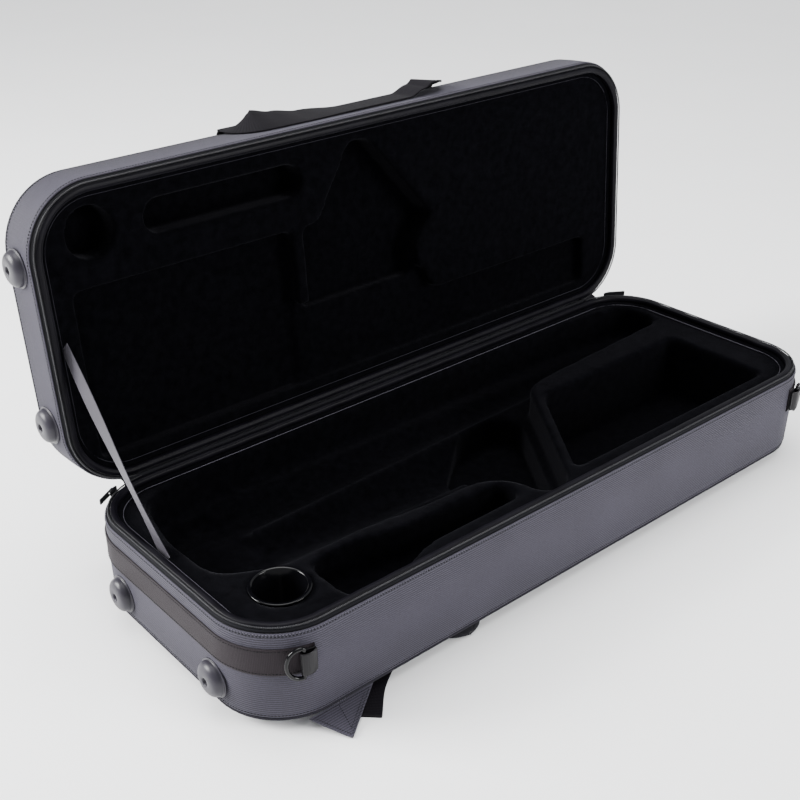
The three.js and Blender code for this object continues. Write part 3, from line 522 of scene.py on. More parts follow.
def wall_section(height):
    """[inset, height] of the cloth: swell is a sine over the wall, and each rib the size of a sine.

    The ribs fade out near the two edges, where the cloth is sewn down."""
    points_per_rib, padding, sunk, fold_height = 6, 0.9 * MM, 0.2 * MM, 0.8 * MM
    low, top = seam_notch + 0.2 * MM, height - 1.0 * MM
    z = np.linspace(low, top, int((top - low) / rib_pitch * points_per_rib))
    share = (z - low) / (top - low)
    swell = padding * np.sin(np.pi * share) ** 0.6
    fade = np.minimum(1, 12 * share * (1 - share))
    ribs = rib_depth * np.abs(np.sin(np.pi * (z - low) / rib_pitch)) * fade
    outer = np.stack([sunk - swell - ribs, z], -1)
    turn = np.linspace(0, np.pi, 6)
    roll = np.stack([cloth / 2 - cloth / 2 * np.cos(turn), top + fold_height * np.sin(turn)], -1)
    hem = low + cloth
    inner = [[cloth, height / 2], [cloth, hem], [seam_notch, hem], [seam_notch, low - fit_gap]]
    return np.concatenate([outer, roll[1:], np.array(inner)])


def wall_cloth(prefix, height, place):
    """The whole strip: the wall section carried once round the plan."""
    piece = all_round(prefix + "_wall_cloth", wall_section(height), place)
    return dress(piece, nylon, "nylon", prefix, prefix + "_cover")


def face_cloth(prefix, place):
    """The flat side: rows across the width, each as long as the plan is there, with ribs along X.

    A row's half length is the core's plus the root of the corner's radius squared less the square of
    how far the row lies past the core. The rows are set by a sine, so they crowd at the edges."""
    edge = seam_notch - fit_gap
    reach_y = half_width - edge
    rows_per_rib, back_of_strip = 4, 2.2
    rows = int(2 * reach_y / rib_pitch * rows_per_rib)
    y = reach_y * np.sin(np.linspace(-np.pi / 2, np.pi / 2, rows)) * 0.999
    over = np.maximum(np.abs(y) - core_y, 0)
    reach_x = core_x + np.sqrt(np.maximum((corner_radius - edge) ** 2 - over**2, 0))
    s = np.linspace(-1, 1, 13)
    x = reach_x[:, None] * s[None, :]
    ribs = rib_depth * np.abs(np.sin(np.pi * y / rib_pitch))
    low = np.stack(np.broadcast_arrays(x, y[:, None], -0.6 * ribs[:, None]), -1)
    high = low[:, ::-1].copy()
    high[..., 2] = cloth
    grid = place(np.concatenate([low, high], 1))
    across = np.concatenate([s, s[::-1] + back_of_strip, [s[0]]]) * half_length
    piece = surface(prefix + "_face_cloth", grid, y, across)
    uv = piece.data.uv_layers["cloth"].data
    swapped = np.empty(len(uv) * 2, dtype=np.float32)
    uv.foreach_get("uv", swapped)
    uv.foreach_set("uv", swapped.reshape(-1, 2)[:, ::-1].ravel())
    return dress(piece, nylon, "nylon", prefix, prefix + "_cover")


for prefix, height, place in (("base", base_height, on_base), ("lid", lid_height, on_lid)):
    wall = wall_cloth(prefix, height, place)
    face = face_cloth(prefix, place)
    print(prefix, "cloth faces:", len(wall.data.polygons) + len(face.data.polygons))

# %% [markdown]
# Five trims run round each half: the bound cord in the bottom seam, the tape and teeth of the zip,
# the padded vinyl rim, and a thin welt in the fold of the plush. All but the zip go right round. The
# zip leaves the hinge side free. Each is a small section carried along the same walk, so it keeps
# its distance from the wall in every corner, as a machine with a guide would sew it.

# %% Seam cord, zip tape and rim
lip_inset, lip_width = 5.2 * MM, 8.4 * MM
coil_diameter = 2.4 * MM
halves = {
    "base": (base_height, on_base, core_x, whole_way - core_x),
    "lid": (lid_height, on_lid, stops[5], stops[5] + whole_way - 2 * core_x),
}


def cord_section(diameter, inset, height, sides=14):
    """A circle of points about [inset, height]."""
    turn = np.linspace(0, 2 * np.pi, sides, endpoint=False)
    return np.stack([inset + diameter / 2 * np.cos(turn), height + diameter / 2 * np.sin(turn)], -1)


def seam_cord(prefix, place):
    """The bound cord: a circle carried round the seam, in the notch between wall and face."""
    diameter = 4.8 * MM
    middle = seam_notch - fit_gap - diameter / 2
    piece = all_round(prefix + "_seam_cord", cord_section(diameter, middle, middle), place)
    return dress(piece, binding, "binding", prefix, prefix + "_piping")


def rim_section(height):
    """The rim: a flat foot and a soft dome, whose side is a power of the sine, with a sewn dip inside."""
    turn = np.linspace(0, np.pi, 22)
    foot, top = height - 1.1 * MM, height + zip_zone - fit_gap
    side = np.sign(np.cos(turn)) * np.abs(np.cos(turn)) ** 0.7
    dome = foot + (top - foot) * np.sin(turn) ** 0.55
    dip = 0.7 * MM * np.exp(-(((side - 0.55) / 0.13) ** 2))
    return np.stack([lip_inset + lip_width / 2 * (1 + side), dome - dip], -1)


def rim(prefix, height, place):
    """The rim section carried all the way round, with slow waves where the vinyl was pulled tight."""
    travel = ways(0, whole_way, 24, 60)[:-1]
    section = rim_section(height)
    grid = carried(section, travel)
    short_wave, long_wave, wave_height = 47 * MM, 310 * MM, 0.22 * MM
    wave = wave_height * np.sin(2 * np.pi * travel / short_wave) * np.sin(2 * np.pi * travel / long_wave)
    grid[..., 2] += wave[:, None] * (section[None, :, 1] > height)
    piece = surface(prefix + "_rim", place(grid), np.append(travel, whole_way), lengths(section, True))
    return dress(piece, vinyl, "vinyl", prefix, prefix + "_lip")


def tape(prefix, height, place, start, end):
    """The zip's tape leans in from the top of the wall to the teeth."""
    low, high = height - 1.0 * MM, height + 2.8 * MM
    inset, lean, thick = 1.9 * MM, 2.0 * MM, 0.9 * MM
    half_way, belly = (low + high) / 2, 0.3 * MM
    outside = np.array([[inset, low], [inset + lean / 2, half_way + belly], [inset + lean, high]])
    inside = np.array([[inset + lean, high], [inset + lean / 2, half_way], [inset, low]]) + [thick, 0]
    piece = part_way(prefix + "_zip_tape_cloth", np.concatenate([outside, inside]), ways(start, end), place)
    return dress(piece, zip_cloth, "zip_cloth", prefix, prefix + "_zip_tape")


def along_wall(travel, inset, height, place):
    """Places and axes on the wall for small copies: x runs along, y out of the wall, z up."""
    spot, out = walk(travel)
    flat = np.zeros(len(travel))
    middle = np.concatenate([spot + (corner_radius - inset) * out, np.full((len(travel), 1), height)], -1)
    along = np.stack([-out[:, 1], out[:, 0], flat], -1)
    outwards = np.stack([out[:, 0], out[:, 1], flat], -1)
    up = np.broadcast_to([0.0, 0.0, 1.0], along.shape)
    return place(middle), np.stack([aimed(place, axis) for axis in (along, outwards, up)], 1)


def teeth(prefix, height, place, start, end):
    """The coil: a core cord, and a bead across it every turn of the coil. Returns the turns made."""
    inset = lip_inset - fit_gap - coil_diameter / 2
    level = height + zip_zone - fit_gap - coil_diameter / 2
    core_diameter, pitch, thread_width = 1.5 * MM, 1.7 * MM, 1.25 * MM
    section = cord_section(core_diameter, inset, level, 6)
    core = part_way(prefix + "_zip_core", section, ways(start, end), place)
    dress(core, zip_nylon, "zip_nylon", prefix, prefix + "_zip_coil")
    turns = np.arange(start + pitch, end - pitch, pitch)
    origins, axes = along_wall(turns, inset, level, place)
    template, faces = bead(thread_width, coil_diameter, coil_diameter)
    coil = scatter(prefix + "_zip_teeth", template, faces, origins, axes)
    dress(coil, zip_nylon, "zip_nylon", prefix, prefix + "_zip_coil")
    return len(turns)


def welt(prefix, height, place, finish):
    """A thin cord in the fold between the rim and the plush: a small circle carried all the way round."""
    diameter, inset, drop = 0.9 * MM, 18.9 * MM, 4.1 * MM
    piece = all_round(prefix + "_welt", cord_section(diameter, inset, height - drop, 6), place)
    return dress(piece, finish, "plush", prefix)


for prefix, (height, place, start, end) in halves.items():
    seam_cord(prefix, place)
    rim(prefix, height, place)
    # The base's welt gets the pale thread colour, a painted highlight along the fold of the plush; the lid's
    # keeps the dark binding.
    welt(prefix, height, place, pale_thread_and_highlight if prefix == "base" else binding)
    tape(prefix, height, place, start, end)
    print(prefix, "zip teeth:", teeth(prefix, height, place, start, end))

# %% [markdown]
# Stitches are small beads, a bead for each length of thread that shows. They could be painted on as
# a pattern, but from close by only a real bead catches the light. Rows follow the bottom seam and
# the top edge of each wall, as the machine sewed the skin on, and a paler one binds the edge itself.

# %% Stitch rows on the walls


def stitch_row(name, material, prefix, place, start, end, inset, height, pitch=3.4 * MM, width=0.9 * MM):
    """Beads along a wall at one height, each 0.68 of the pitch long."""
    travel = np.arange(start + pitch, end - pitch / 2, pitch)
    origins, axes = along_wall(travel, inset, height, place)
    template, faces = bead(0.68 * pitch, width, width)
    return dress(scatter(name, template, faces, origins, axes), material, "nylon", prefix)


seam_row, top_drop, edge_drop = seam_notch + 2.4 * MM, 3.4 * MM, 1.5 * MM
seam_inset, top_inset, edge_inset = -0.25 * MM, -0.35 * MM, -0.1 * MM
edge_size = {"pitch": 3.1 * MM, "width": 0.8 * MM}
for prefix, (height, place, start, end) in halves.items():
    stitch_row(prefix + "_seam_stitches", thread, prefix, place, 0, whole_way, seam_inset, seam_row)
    stitch_row(prefix + "_top_stitches", thread, prefix, place, start, end, top_inset, height - top_drop)
    name, level = prefix + "_edge_stitches", height - edge_drop
    stitch_row(name, pale_thread_and_highlight, prefix, place, start, end, edge_inset, level, **edge_size)
    print(prefix, "stitch rows at", np.round(np.array([seam_row, height - top_drop, level]) / MM, 1), "mm")

# %% [markdown]
# The two inserts are foam covered with plush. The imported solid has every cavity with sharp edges.
# A copy is remeshed in small voxels and smoothed a little, which rounds the edges just as cloth
# glued over foam does, and leaves flat walls where they were.

# %% Plush inserts


def weld(mesh, reach, flat_angle=None):
    """Merges points closer than the reach. With an angle, it also joins faces that meet at less."""
    work = bmesh.new()
    work.from_mesh(mesh)
    bmesh.ops.remove_doubles(work, verts=work.verts, dist=reach)
    if flat_angle is not None:
        bmesh.ops.dissolve_limit(work, angle_limit=flat_angle, verts=work.verts, edges=work.edges)
    work.to_mesh(mesh)
    work.free()
    mesh.materials.clear()


def plush_insert(prefix):
    """A merged copy of the solid, remeshed at voxel size and smoothed.

    Each pass of the smoothing moves a point half way to the mean of its neighbours."""
    source = frame["nodes"][prefix + "_insert"].data.copy()
    source.name = prefix + "_plush"
    weld(source, 0.01 * MM)
    piece = placed(prefix + "_plush", source)
    remesh = piece.modifiers.new("voxels", "REMESH")
    remesh.mode = "VOXEL"
    remesh.voxel_size = 3.6 * MM
    remesh.use_smooth_shade = True
    soften = piece.modifiers.new("soften", "SMOOTH")
    soften.factor = 0.5
    soften.iterations = 4
    baked = bpy.data.meshes.new_from_object(piece.evaluated_get(bpy.context.evaluated_depsgraph_get()))
    piece.modifiers.clear()
    piece.data = baked
    shade_faces(baked)
    print(prefix, "plush faces:", len(baked.polygons))
    return dress(piece, plush, "plush", prefix, prefix + "_insert")


for prefix in halves:
    plush_insert(prefix)

# %% [markdown]
# Feet, rivets and the round cup are turned shapes: a profile of radius and height spun about an
# axis, as on a lathe. The foot has a thin flange that catches the light, a dome, and a rivet deep in
# its hole. Every profile starts and ends a hair off the axis, so that no face shrinks to a line.

# %% Turned pieces
near_axis = 0.01 * MM


def turned(name, profile, centre, direction, steps=40):
    """Spins [radius, height] about a direction by an angle a that goes once round.

    Each point is the centre, plus the radius times cos a of the side and sin a of the other side,
    plus the height times the direction. The side is square to the direction and to any third one."""
    any_third, uv_round = [0.3, 0.5, 0.81], 0.1
    direction = np.array(direction, dtype=float)
    side = np.cross(direction, any_third)
    side /= np.linalg.norm(side)
    other = np.cross(direction, side)
    turn = np.linspace(0, 2 * np.pi, steps, endpoint=False)[:, None, None]
    radius, height = profile[None, :, :1], profile[None, :, 1:]
    grid = centre + radius * (np.cos(turn) * side + np.sin(turn) * other) + height * direction
    return surface(name, grid, np.linspace(0, uv_round, steps + 1), lengths(profile), caps=False)


def foot_profile():
    """Flange with a rounded edge, a dome that is a power of the sine, and a hole down to the rivet."""
    outer, dome, tip, hole = 21 * MM, 19.2 * MM, 7.5 * MM, 4 * MM
    gap, flange, top, rivet = 0.35 * MM, 2.1 * MM, 12 * MM, 4 * MM
    turn = np.linspace(0, np.pi / 2, 14)
    radius = tip + (dome - tip) * np.cos(turn) ** 0.85
    height = flange + (top - flange) * np.sin(turn) ** 0.9
    under = [[near_axis, gap], [outer - 0.5 * MM, gap], [outer, 0.9 * MM], [outer, 1.6 * MM]]
    ledge = [[outer - 0.6 * MM, flange], [dome + 0.2 * MM, flange]]
    inside = [[hole + 0.8 * MM, top], [hole, top - 0.8 * MM], [hole, rivet], [near_axis, rivet]]
    return np.concatenate([np.array(under + ledge), np.stack([radius, height], -1), np.array(inside)])


def rivet_profile():
    """A small domed head: the height is a cosine over the radius."""
    radius, low, edge, dome = 3.5 * MM, 4.05 * MM, 4.1 * MM, 1.5 * MM
    share = np.linspace(1, 0, 8)
    head = np.stack([np.maximum(radius * share, near_axis), edge + dome * np.cos(share * np.pi / 2)], -1)
    return np.concatenate([[[near_axis, low], [radius, low]], head[1:]])


end_spread, end_rise, spine_x = 87 * MM, 30 * MM, 300 * MM
bottom_x, bottom_y = 345 * MM, 95 * MM
foot_places = {
    "base_end_foot_front": ("base", [-half_length, -end_spread, end_rise], [-1, 0, 0]),
    "base_end_foot_back": ("base", [-half_length, end_spread, end_rise], [-1, 0, 0]),
    "base_spine_foot_left": ("base", [-spine_x, half_width, end_rise], [0, 1, 0]),
    "base_spine_foot_right": ("base", [spine_x, half_width, end_rise], [0, 1, 0]),
    "base_bottom_foot_front_left": ("base", [-bottom_x, -bottom_y, 0], [0, 0, -1]),
    "base_bottom_foot_back_left": ("base", [-bottom_x, bottom_y, 0], [0, 0, -1]),
    "base_bottom_foot_front_right": ("base", [bottom_x, -bottom_y, 0], [0, 0, -1]),
    "base_bottom_foot_back_right": ("base", [bottom_x, bottom_y, 0], [0, 0, -1]),
    "lid_end_foot_front": ("lid", [-half_length, end_spread, lid_height / 2], [-1, 0, 0]),
    "lid_end_foot_back": ("lid", [-half_length, -end_spread, lid_height / 2], [-1, 0, 0]),
    "lid_spine_foot_left": ("lid", [-spine_x, -half_width, lid_height / 2], [0, -1, 0]),
    "lid_spine_foot_right": ("lid", [spine_x, -half_width, lid_height / 2], [0, -1, 0]),
}
for node_name, (prefix, centre, direction) in foot_places.items():
    place = halves[prefix][1]
    middle, axis = place(np.array(centre)), aimed(place, np.array(direction))
    foot = turned(node_name + "_dome", foot_profile(), middle, axis)
    dress(foot, foot_plastic, "foot_plastic", prefix, node_name)
    rivet = turned(node_name + "_rivet", rivet_profile(), middle, axis, 20)
    dress(rivet, rivet_metal, "foot_plastic", prefix, node_name)
print("Feet:", len(foot_places))


def cup_profile():
    """A thin wall with a rolled rim: out along the floor, up outside, over the half circle and back in."""
    outer, inner, rim_edge, roll = 28.7 * MM, 27.3 * MM, 31.7 * MM, 1.1 * MM
    under, thick, top = -61.7 * MM, 1.4 * MM, 2.5 * MM
    turn = np.linspace(-np.pi / 2, np.pi / 2, 8)
    rolled = np.stack([rim_edge - roll + roll * np.cos(turn), top - roll + roll * np.sin(turn)], -1)
    outside = [[near_axis, under], [outer - 2 * MM, under], [outer, under + 2 * MM], [outer, fit_gap]]
    lip = [[inner + 0.8 * MM, top], [inner, top - 0.8 * MM]]
    inside = [[inner, under + 4 * MM], [inner - 2.6 * MM, under + thick], [near_axis, under + thick]]
    return np.concatenate([np.array(outside), rolled, np.array(lip + inside)])


face_drop = 4.5 * MM
cup_low, cup_high = (np.array(corner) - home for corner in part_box("mouthpiece_cup"))
cup_centre = np.append((cup_low + cup_high)[:2] / 2, base_height - face_drop)
cup = turned("mouthpiece_cup_shell", cup_profile(), cup_centre, [0, 0, 1], 64)
dress(cup, gloss_plastic, "gloss_plastic", "base", "mouthpiece_cup")

# %% [markdown]
# A band of webbing is sewn round each end, in line with the D-rings. Its section is a flat bar with
# round edges, carried along the wall, and stitches run close to both edges. It starts on the back
# wall, just before the corner, and ends in the front corner, under the tab of the ring. The right
# end is the left one mirrored, so that both stay alike.

# %% End bands
band_drop, band_width, band_thick = 17 * MM, 31 * MM, 2 * MM
band_middle = base_height - band_drop - band_width / 2
band_tail, front_share = 14 * MM, 80 / 90
band_start, band_end = core_x - band_tail, core_x + quarter + 2 * core_y + quarter * front_share
row_offset, row_inset, row_pitch = 13 * MM, -2.35 * MM, 3.2 * MM
mirror = {"left": np.array([1.0, 1.0, 1.0]), "right": np.array([-1.0, 1.0, 1.0])}
for side, flip in mirror.items():
    place = lambda points, flip=flip: points * flip
    section = round_bar(band_thick, band_width, 8) + [-fit_gap - band_thick / 2, band_middle]
    band = part_way("end_band_cloth_" + side, section, ways(band_start, band_end, 18, 8), place)
    dress(band, band_cloth, "band_cloth", "base", "end_band_" + side)
    for row, row_height in (("low", band_middle - row_offset), ("high", band_middle + row_offset)):
        name = "end_band_stitches_" + row + "_" + side
        stitch_row(name, thread, "base", place, band_start, band_end, row_inset, row_height, row_pitch)
print("Band height above the floor:", round(band_middle / MM, 1), "mm")

# %% [markdown]
# Each D-ring hangs in a tab at a front corner. The ring's line is a bar and a half ellipse. Cutting
# its corners again and again makes it smooth, and a circle is carried along it. The tab is a waxed
# web folded round the bar. Its outer layer is rolled, so it keeps a soft bulge and a dull shine.

# %% D-rings and their tabs
ring_rod, ring_half, ring_bow = 4.4 * MM, 17.3 * MM, 17.8 * MM
ring_bend = ring_rod * 0.8
ring_eye = ring_rod / 2 + fit_gap
tab_thick = 1.6 * MM
ring_out = band_thick + 2 * fit_gap + tab_thick + ring_eye
ring_radius = corner_radius + ring_out
ring_angle = math.radians(-109)
ring_x = -core_x + ring_radius * math.cos(ring_angle)
ring_y = -core_y + ring_radius * math.sin(ring_angle)
ring_pos = np.array([ring_x, ring_y, band_middle])


def at_ring(points):
    """Local points, X along the wall and -Y out of it, turned and moved to the left front corner."""
    cos, sin = math.cos(ring_angle + math.pi / 2), math.sin(ring_angle + math.pi / 2)
    x, y, z = np.moveaxis(points, -1, 0)
    return np.stack([x * cos - y * sin, x * sin + y * cos, z], -1) + ring_pos


def cut_corners(points, times):
    """Each pass replaces a corner by the points a quarter and three quarters along its sides."""
    for _ in range(times):
        after = np.roll(points, -1, axis=0)
        points = np.stack([0.75 * points + 0.25 * after, 0.25 * points + 0.75 * after], 1).reshape(-1, 3)
    return points


def ring_line():
    """Bar on the Z axis, bow towards -X: x and z of a half ellipse, then the two ends of the bar."""
    turn = np.linspace(np.pi / 2, 3 * np.pi / 2, 13)
    bow_x = -ring_bend + (ring_bow - ring_bend) * np.cos(turn)
    bow = np.stack([bow_x, 0 * turn, ring_half * np.sin(turn)], -1)
    bar_end = ring_half - 0.2 * ring_bend
    bar = np.array([[0, 0, z] for z in (-bar_end, -ring_half / 2, ring_half / 2, bar_end)])
    return cut_corners(np.concatenate([bow, bar]), 2)


def d_ring(side):
    """A circle carried round the ring's line, in the plane of the flat and inward directions."""
    rod_steps = 16
    line = ring_line()
    direction = np.roll(line, -1, axis=0) - np.roll(line, 1, axis=0)
    direction /= np.linalg.norm(direction, axis=-1, keepdims=True)
    flat = np.array([0.0, 1.0, 0.0])
    inwards = np.cross(flat, direction)
    turn = np.linspace(0, 2 * np.pi, rod_steps, endpoint=False)[None, :, None]
    rings = line[:, None] + ring_rod / 2 * (np.cos(turn) * inwards[:, None] + np.sin(turn) * flat)
    around = np.linspace(0, math.pi * ring_rod, rod_steps + 1)
    piece = surface("d_ring_bow_" + side, at_ring(rings) * mirror[side], lengths(line, True), around)
    return dress(piece, gloss_plastic, "gloss_plastic", side + "_ring", "d_ring_" + side)


def ring_tab(side):
    """The fold: along the wall, half a turn round the bar, and back over itself to the sewn end.

    The outer layer is rolled: a sine adds its bulge."""
    tab_width, tab_length, layer_gap, bulge = 26 * MM, 12.5 * MM, 0.1 * MM, 1.9 * MM
    fold = ring_eye + tab_thick / 2
    inner = ring_radius - fold
    outer = inner + tab_thick + layer_gap
    reach = tab_length / inner
    back = np.linspace(reach, 0, 10)
    first = np.stack([inner * np.sin(back), ring_radius - inner * np.cos(back)], -1)
    turn = np.linspace(np.pi / 2, 3 * np.pi / 2, 16)[1:-1]
    eye = fold * np.stack([np.cos(turn), np.sin(turn)], -1)
    share = np.linspace(0, 1, 10)[:, None]
    end = np.array([outer * math.sin(reach), ring_radius - outer * math.cos(reach)])
    last = np.array([0, -fold]) * (1 - share) + end * share - bulge * np.sin(np.pi * share) * [0, 1]
    flat = np.concatenate([first, eye, last])
    line = at_ring(np.concatenate([flat, np.zeros((len(flat), 1))], -1)) * mirror[side]
    section = round_bar(tab_width, 0.94 * tab_thick, 5)
    piece = strap("ring_tab_web_" + side, line, np.array([0.0, 0.0, 1.0]), section)
    return dress(piece, waxed_web, "webbing", "base", "ring_tab_" + side)


for side in mirror:
    d_ring(side)
    ring_tab(side)
print("Ring bar at", np.round(ring_pos, 4))

# %% [markdown]
# The zip's sliders and pulls are small castings. Their solids have the right shape, so a merged copy
# gets rounded edges from a Bevel, and the black lacquer does the rest.

# %% Sliders and pulls


def softened(node_name, body, material, slot, width):
    """A merged copy of a solid with its edges rounded."""
    mesh = frame["nodes"][node_name].data.copy()
    weld(mesh, 0.005 * MM, math.radians(4))
    piece = placed(node_name + "_casting", mesh)
    bevel = piece.modifiers.new("edges", "BEVEL")
    bevel.width = width
    bevel.segments = 2
    bevel.limit_method = "ANGLE"
    bevel.angle_limit = math.radians(35)
    shade_faces(mesh, False)
    return dress(piece, material, slot, body, node_name)


edge_round = 0.25 * MM
for side in mirror:
    softened("zip_slider_" + side, side + "_slider", slider_metal, "slider_metal", edge_round)
    softened("zip_pull_" + side, side + "_pull", slider_metal, "slider_metal", edge_round)
print("Castings made for both sides")

# %% [markdown]
# The carrying handle is a strip of webbing. It leaves its left eye, turns a quarter circle, runs along
# the wall of the lid and turns back to its right eye. One table of shares says how far it stands off
# the wall, another how far it leans out: first it stands on one edge, then it lies flat, then it arches.
# A simulation could drop the strip into place, but tables follow the photograph stretch by stretch.

# %% Handle and anchors
handle_reach, handle_turn, handle_width = 142 * MM, 22 * MM, 38 * MM
handle_out, handle_drop, handle_bulge = 4 * MM, 3 * MM, 16 * MM
handle_middle, handle_lean = -13 * MM, math.radians(28)
handle_wall, handle_level = -half_width - handle_out, closed_height - handle_drop
handle_ends = {"left": handle_middle - handle_reach, "right": handle_middle + handle_reach}
rise_places = np.array([0, 0.05, 0.1, 0.2, 0.32, 0.52, 0.78, 0.86, 0.9, 0.955, 1])
rise_shares = np.array([0, 0.3, 0.42, 0.24, 0.06, -0.09, -0.09, 0.35, 0.68, 0.4, 0])
lean_places = np.array([0, 0.05, 0.1, 0.2, 0.32, 0.52, 1])
lean_shares = np.array([0, 0.8, 1, 0.64, 0.34, 0, 0])


def share_at(places, shares, place):
    """Smoothstep between the shares of a table: 3 t squared minus 2 t cubed on each stretch."""
    step = np.clip(np.searchsorted(places, place, side="right") - 1, 0, len(places) - 2)
    into = (place - places[step]) / (places[step + 1] - places[step])
    ease = into * into * (3 - 2 * into)
    return shares[step] * (1 - ease) + shares[step + 1] * ease


def handle_line(steps=120):
    """Middles and across directions in the shut lid's frame: a quarter turn, a run, a quarter turn.

    The across direction runs along the wall at both eyes. On the run it points down the wall and
    leans by an angle, with its sine towards the wall and its cosine down it."""
    run = handle_reach - handle_turn
    turn_length = handle_turn * math.pi / 2
    total = 2 * (run + turn_length)
    way = np.linspace(0.0, total, steps)
    first = np.clip(way / turn_length, 0, 1) * math.pi / 2
    last = np.clip((way - turn_length - 2 * run) / turn_length, 0, 1) * math.pi / 2
    along = np.clip(way - turn_length, 0, 2 * run) - run
    x = along - handle_turn * np.cos(first) * (way < turn_length) + handle_turn * np.sin(last)
    down = np.sin(first) * np.cos(last)
    lean = handle_lean * share_at(lean_places, lean_shares, way / total)
    rise = handle_bulge * share_at(rise_places, rise_shares, way / total)
    across = np.stack([np.sin(last) - np.cos(first), np.sin(lean), -down * np.cos(lean)], -1)
    middle = np.stack([handle_middle + x, handle_wall - rise, handle_level - handle_turn * down], -1)
    return middle, across


handle_thick, eye_size = 2.4 * MM, 3 * MM
middle, across = handle_line()
section = round_bar(handle_width, handle_thick, 7)
handle = strap("lid_handle_web", swung_open(middle), aimed(swung_open, across), section)
dress(handle, webbing, "webbing", "lid_handle", "lid_handle_strap")
for side, end_x in handle_ends.items():
    x = end_x + np.linspace(-0.5, 0.5, 9) * handle_width
    line = swung_open(np.stack(np.broadcast_arrays(x, handle_wall, handle_level), -1))
    section = round_bar(eye_size, eye_size, 5, 1)
    eye = strap("lid_handle_eye_" + side, line, np.array([0.0, 1.0, 0.0]), section)
    dress(eye, webbing, "webbing", "lid_handle", "lid_handle_strap")


def anchor(side, end_x):
    """The sewn end: flat on the lid's face, then down over the edge by the square of the way."""
    face_reach, face_gap, bend_start, thick = 46 * MM, 1.3 * MM, 0.9, 1.8 * MM
    tip_y, tip_z = -2.9 * MM, -1.9 * MM
    share = np.linspace(0, 1, 14)
    y = face_reach + (tip_y - face_reach) * share
    bend = np.clip((share - bend_start) / (1 - bend_start), 0, 1)
    z = face_gap * (1 - bend**2) + tip_z * bend**2
    line = swung_open(np.stack(np.broadcast_arrays(end_x, y - half_width, closed_height + z), -1))
    section = round_bar(handle_width, thick, 6)
    piece = strap("lid_handle_anchor_web_" + side, line, np.array([1.0, 0.0, 0.0]), section)
    return dress(piece, webbing, "webbing", "lid", "lid_handle_anchor_" + side)


for side, end_x in handle_ends.items():
    anchor(side, end_x)


def stitch_lines(name, material, prefix, place, lines, normal, pitch=3.2 * MM, width=0.7 * MM):
    """Beads along straight lines between pairs of points, on a face with the given normal."""
    origins, axes = [], []
    for begin, end in lines:
        length = np.linalg.norm(end - begin)
        count = max(int(length / pitch), 2)
        share = (np.arange(count) + 0.5)[:, None] / count
        forward = (end - begin) / length
        origins.append(begin * (1 - share) + end * share)
        axes.append(np.broadcast_to(np.stack([forward, np.cross(normal, forward), normal]), (count, 3, 3)))
    template, faces = bead(0.7 * pitch, width, width)
    all_axes = aimed(place, np.concatenate(axes))
    piece = scatter(name, template, faces, place(np.concatenate(origins)), all_axes)
    return dress(piece, material, "webbing", prefix)


def sewn_box(centre, along, across, length, width):
    """The six lines of a box of stitches with a cross in it."""
    signs = np.array([[-1, -1], [1, -1], [1, 1], [-1, 1]])
    corners = centre + signs[:, :1] * along * length / 2 + signs[:, 1:] * across * width / 2
    return [(corners[a], corners[b]) for a, b in ((0, 1), (1, 2), (2, 3), (3, 0), (0, 2), (1, 3))]


box_inset, box_level, box_size = 26 * MM, 2.25 * MM, 30 * MM
along, across, normal = np.eye(3)
for side, end_x in handle_ends.items():
    centre = np.array([end_x, box_inset - half_width, closed_height + box_level])
    lines = sewn_box(centre, along, across, box_size, box_size)
    stitch_lines("lid_anchor_stitches_" + side, thread, "lid", swung_open, lines, normal)
print("Handle web:", len(handle.data.polygons), "faces")

# %% [markdown]
# Below the front and back edges a cloth wing comes out of the seam and slopes to the floor, with a web
# under it. The web runs to a padded shoulder strap stowed flat under the case. A pad is a crowned
# bar, thin at its bound edges, with two sewn channels, and its free end is a half circle. All of
# them are one section carried along a line, because that is how a strap is cut and sewn. Each row of
# stitches on a wing runs between two spots, given as shares of the wing's three corners.

# %% Wings, webs and padded straps
foot_height = 12 * MM
pad_x, pad_reach, pad_spread, pad_bend = -177 * MM, 135 * MM, 45 * MM, 44 * MM
pad_width, pad_thick, patch_x, patch_thick = 64 * MM, 8.4 * MM, 110 * MM, 1.5 * MM
wing_thick, web_width, web_thick = 2.2 * MM, 37.6 * MM, 1.8 * MM
wing_rows = np.array([
    [[0.89, 0.04, 0.07], [0.04, 0.89, 0.07]],
    [[0.86, 0.04, 0.1], [0.05, 0.04, 0.91]],
    [[0.04, 0.86, 0.1], [0.04, 0.05, 0.91]],
    [[0.1, 0.8, 0.1], [0.1, 0.1, 0.8]],
    [[0.52, 0.41, 0.07], [0.1, 0.14, 0.76]],
])


def flat_uv(piece, along, across):
    """UV as distances in two directions of a plane, so that a tapered cloth keeps its ribs parallel."""
    mesh = piece.data
    corners = np.empty(len(mesh.loops), dtype=np.int32)
    mesh.loops.foreach_get("vertex_index", corners)
    points = np.empty(3 * len(mesh.vertices), dtype=np.float32)
    mesh.vertices.foreach_get("co", points)
    uv = points.reshape(-1, 3)[corners] @ np.stack([along, across], -1)
    mesh.uv_layers["cloth"].data.foreach_set("uv", uv.astype(np.float32).ravel())


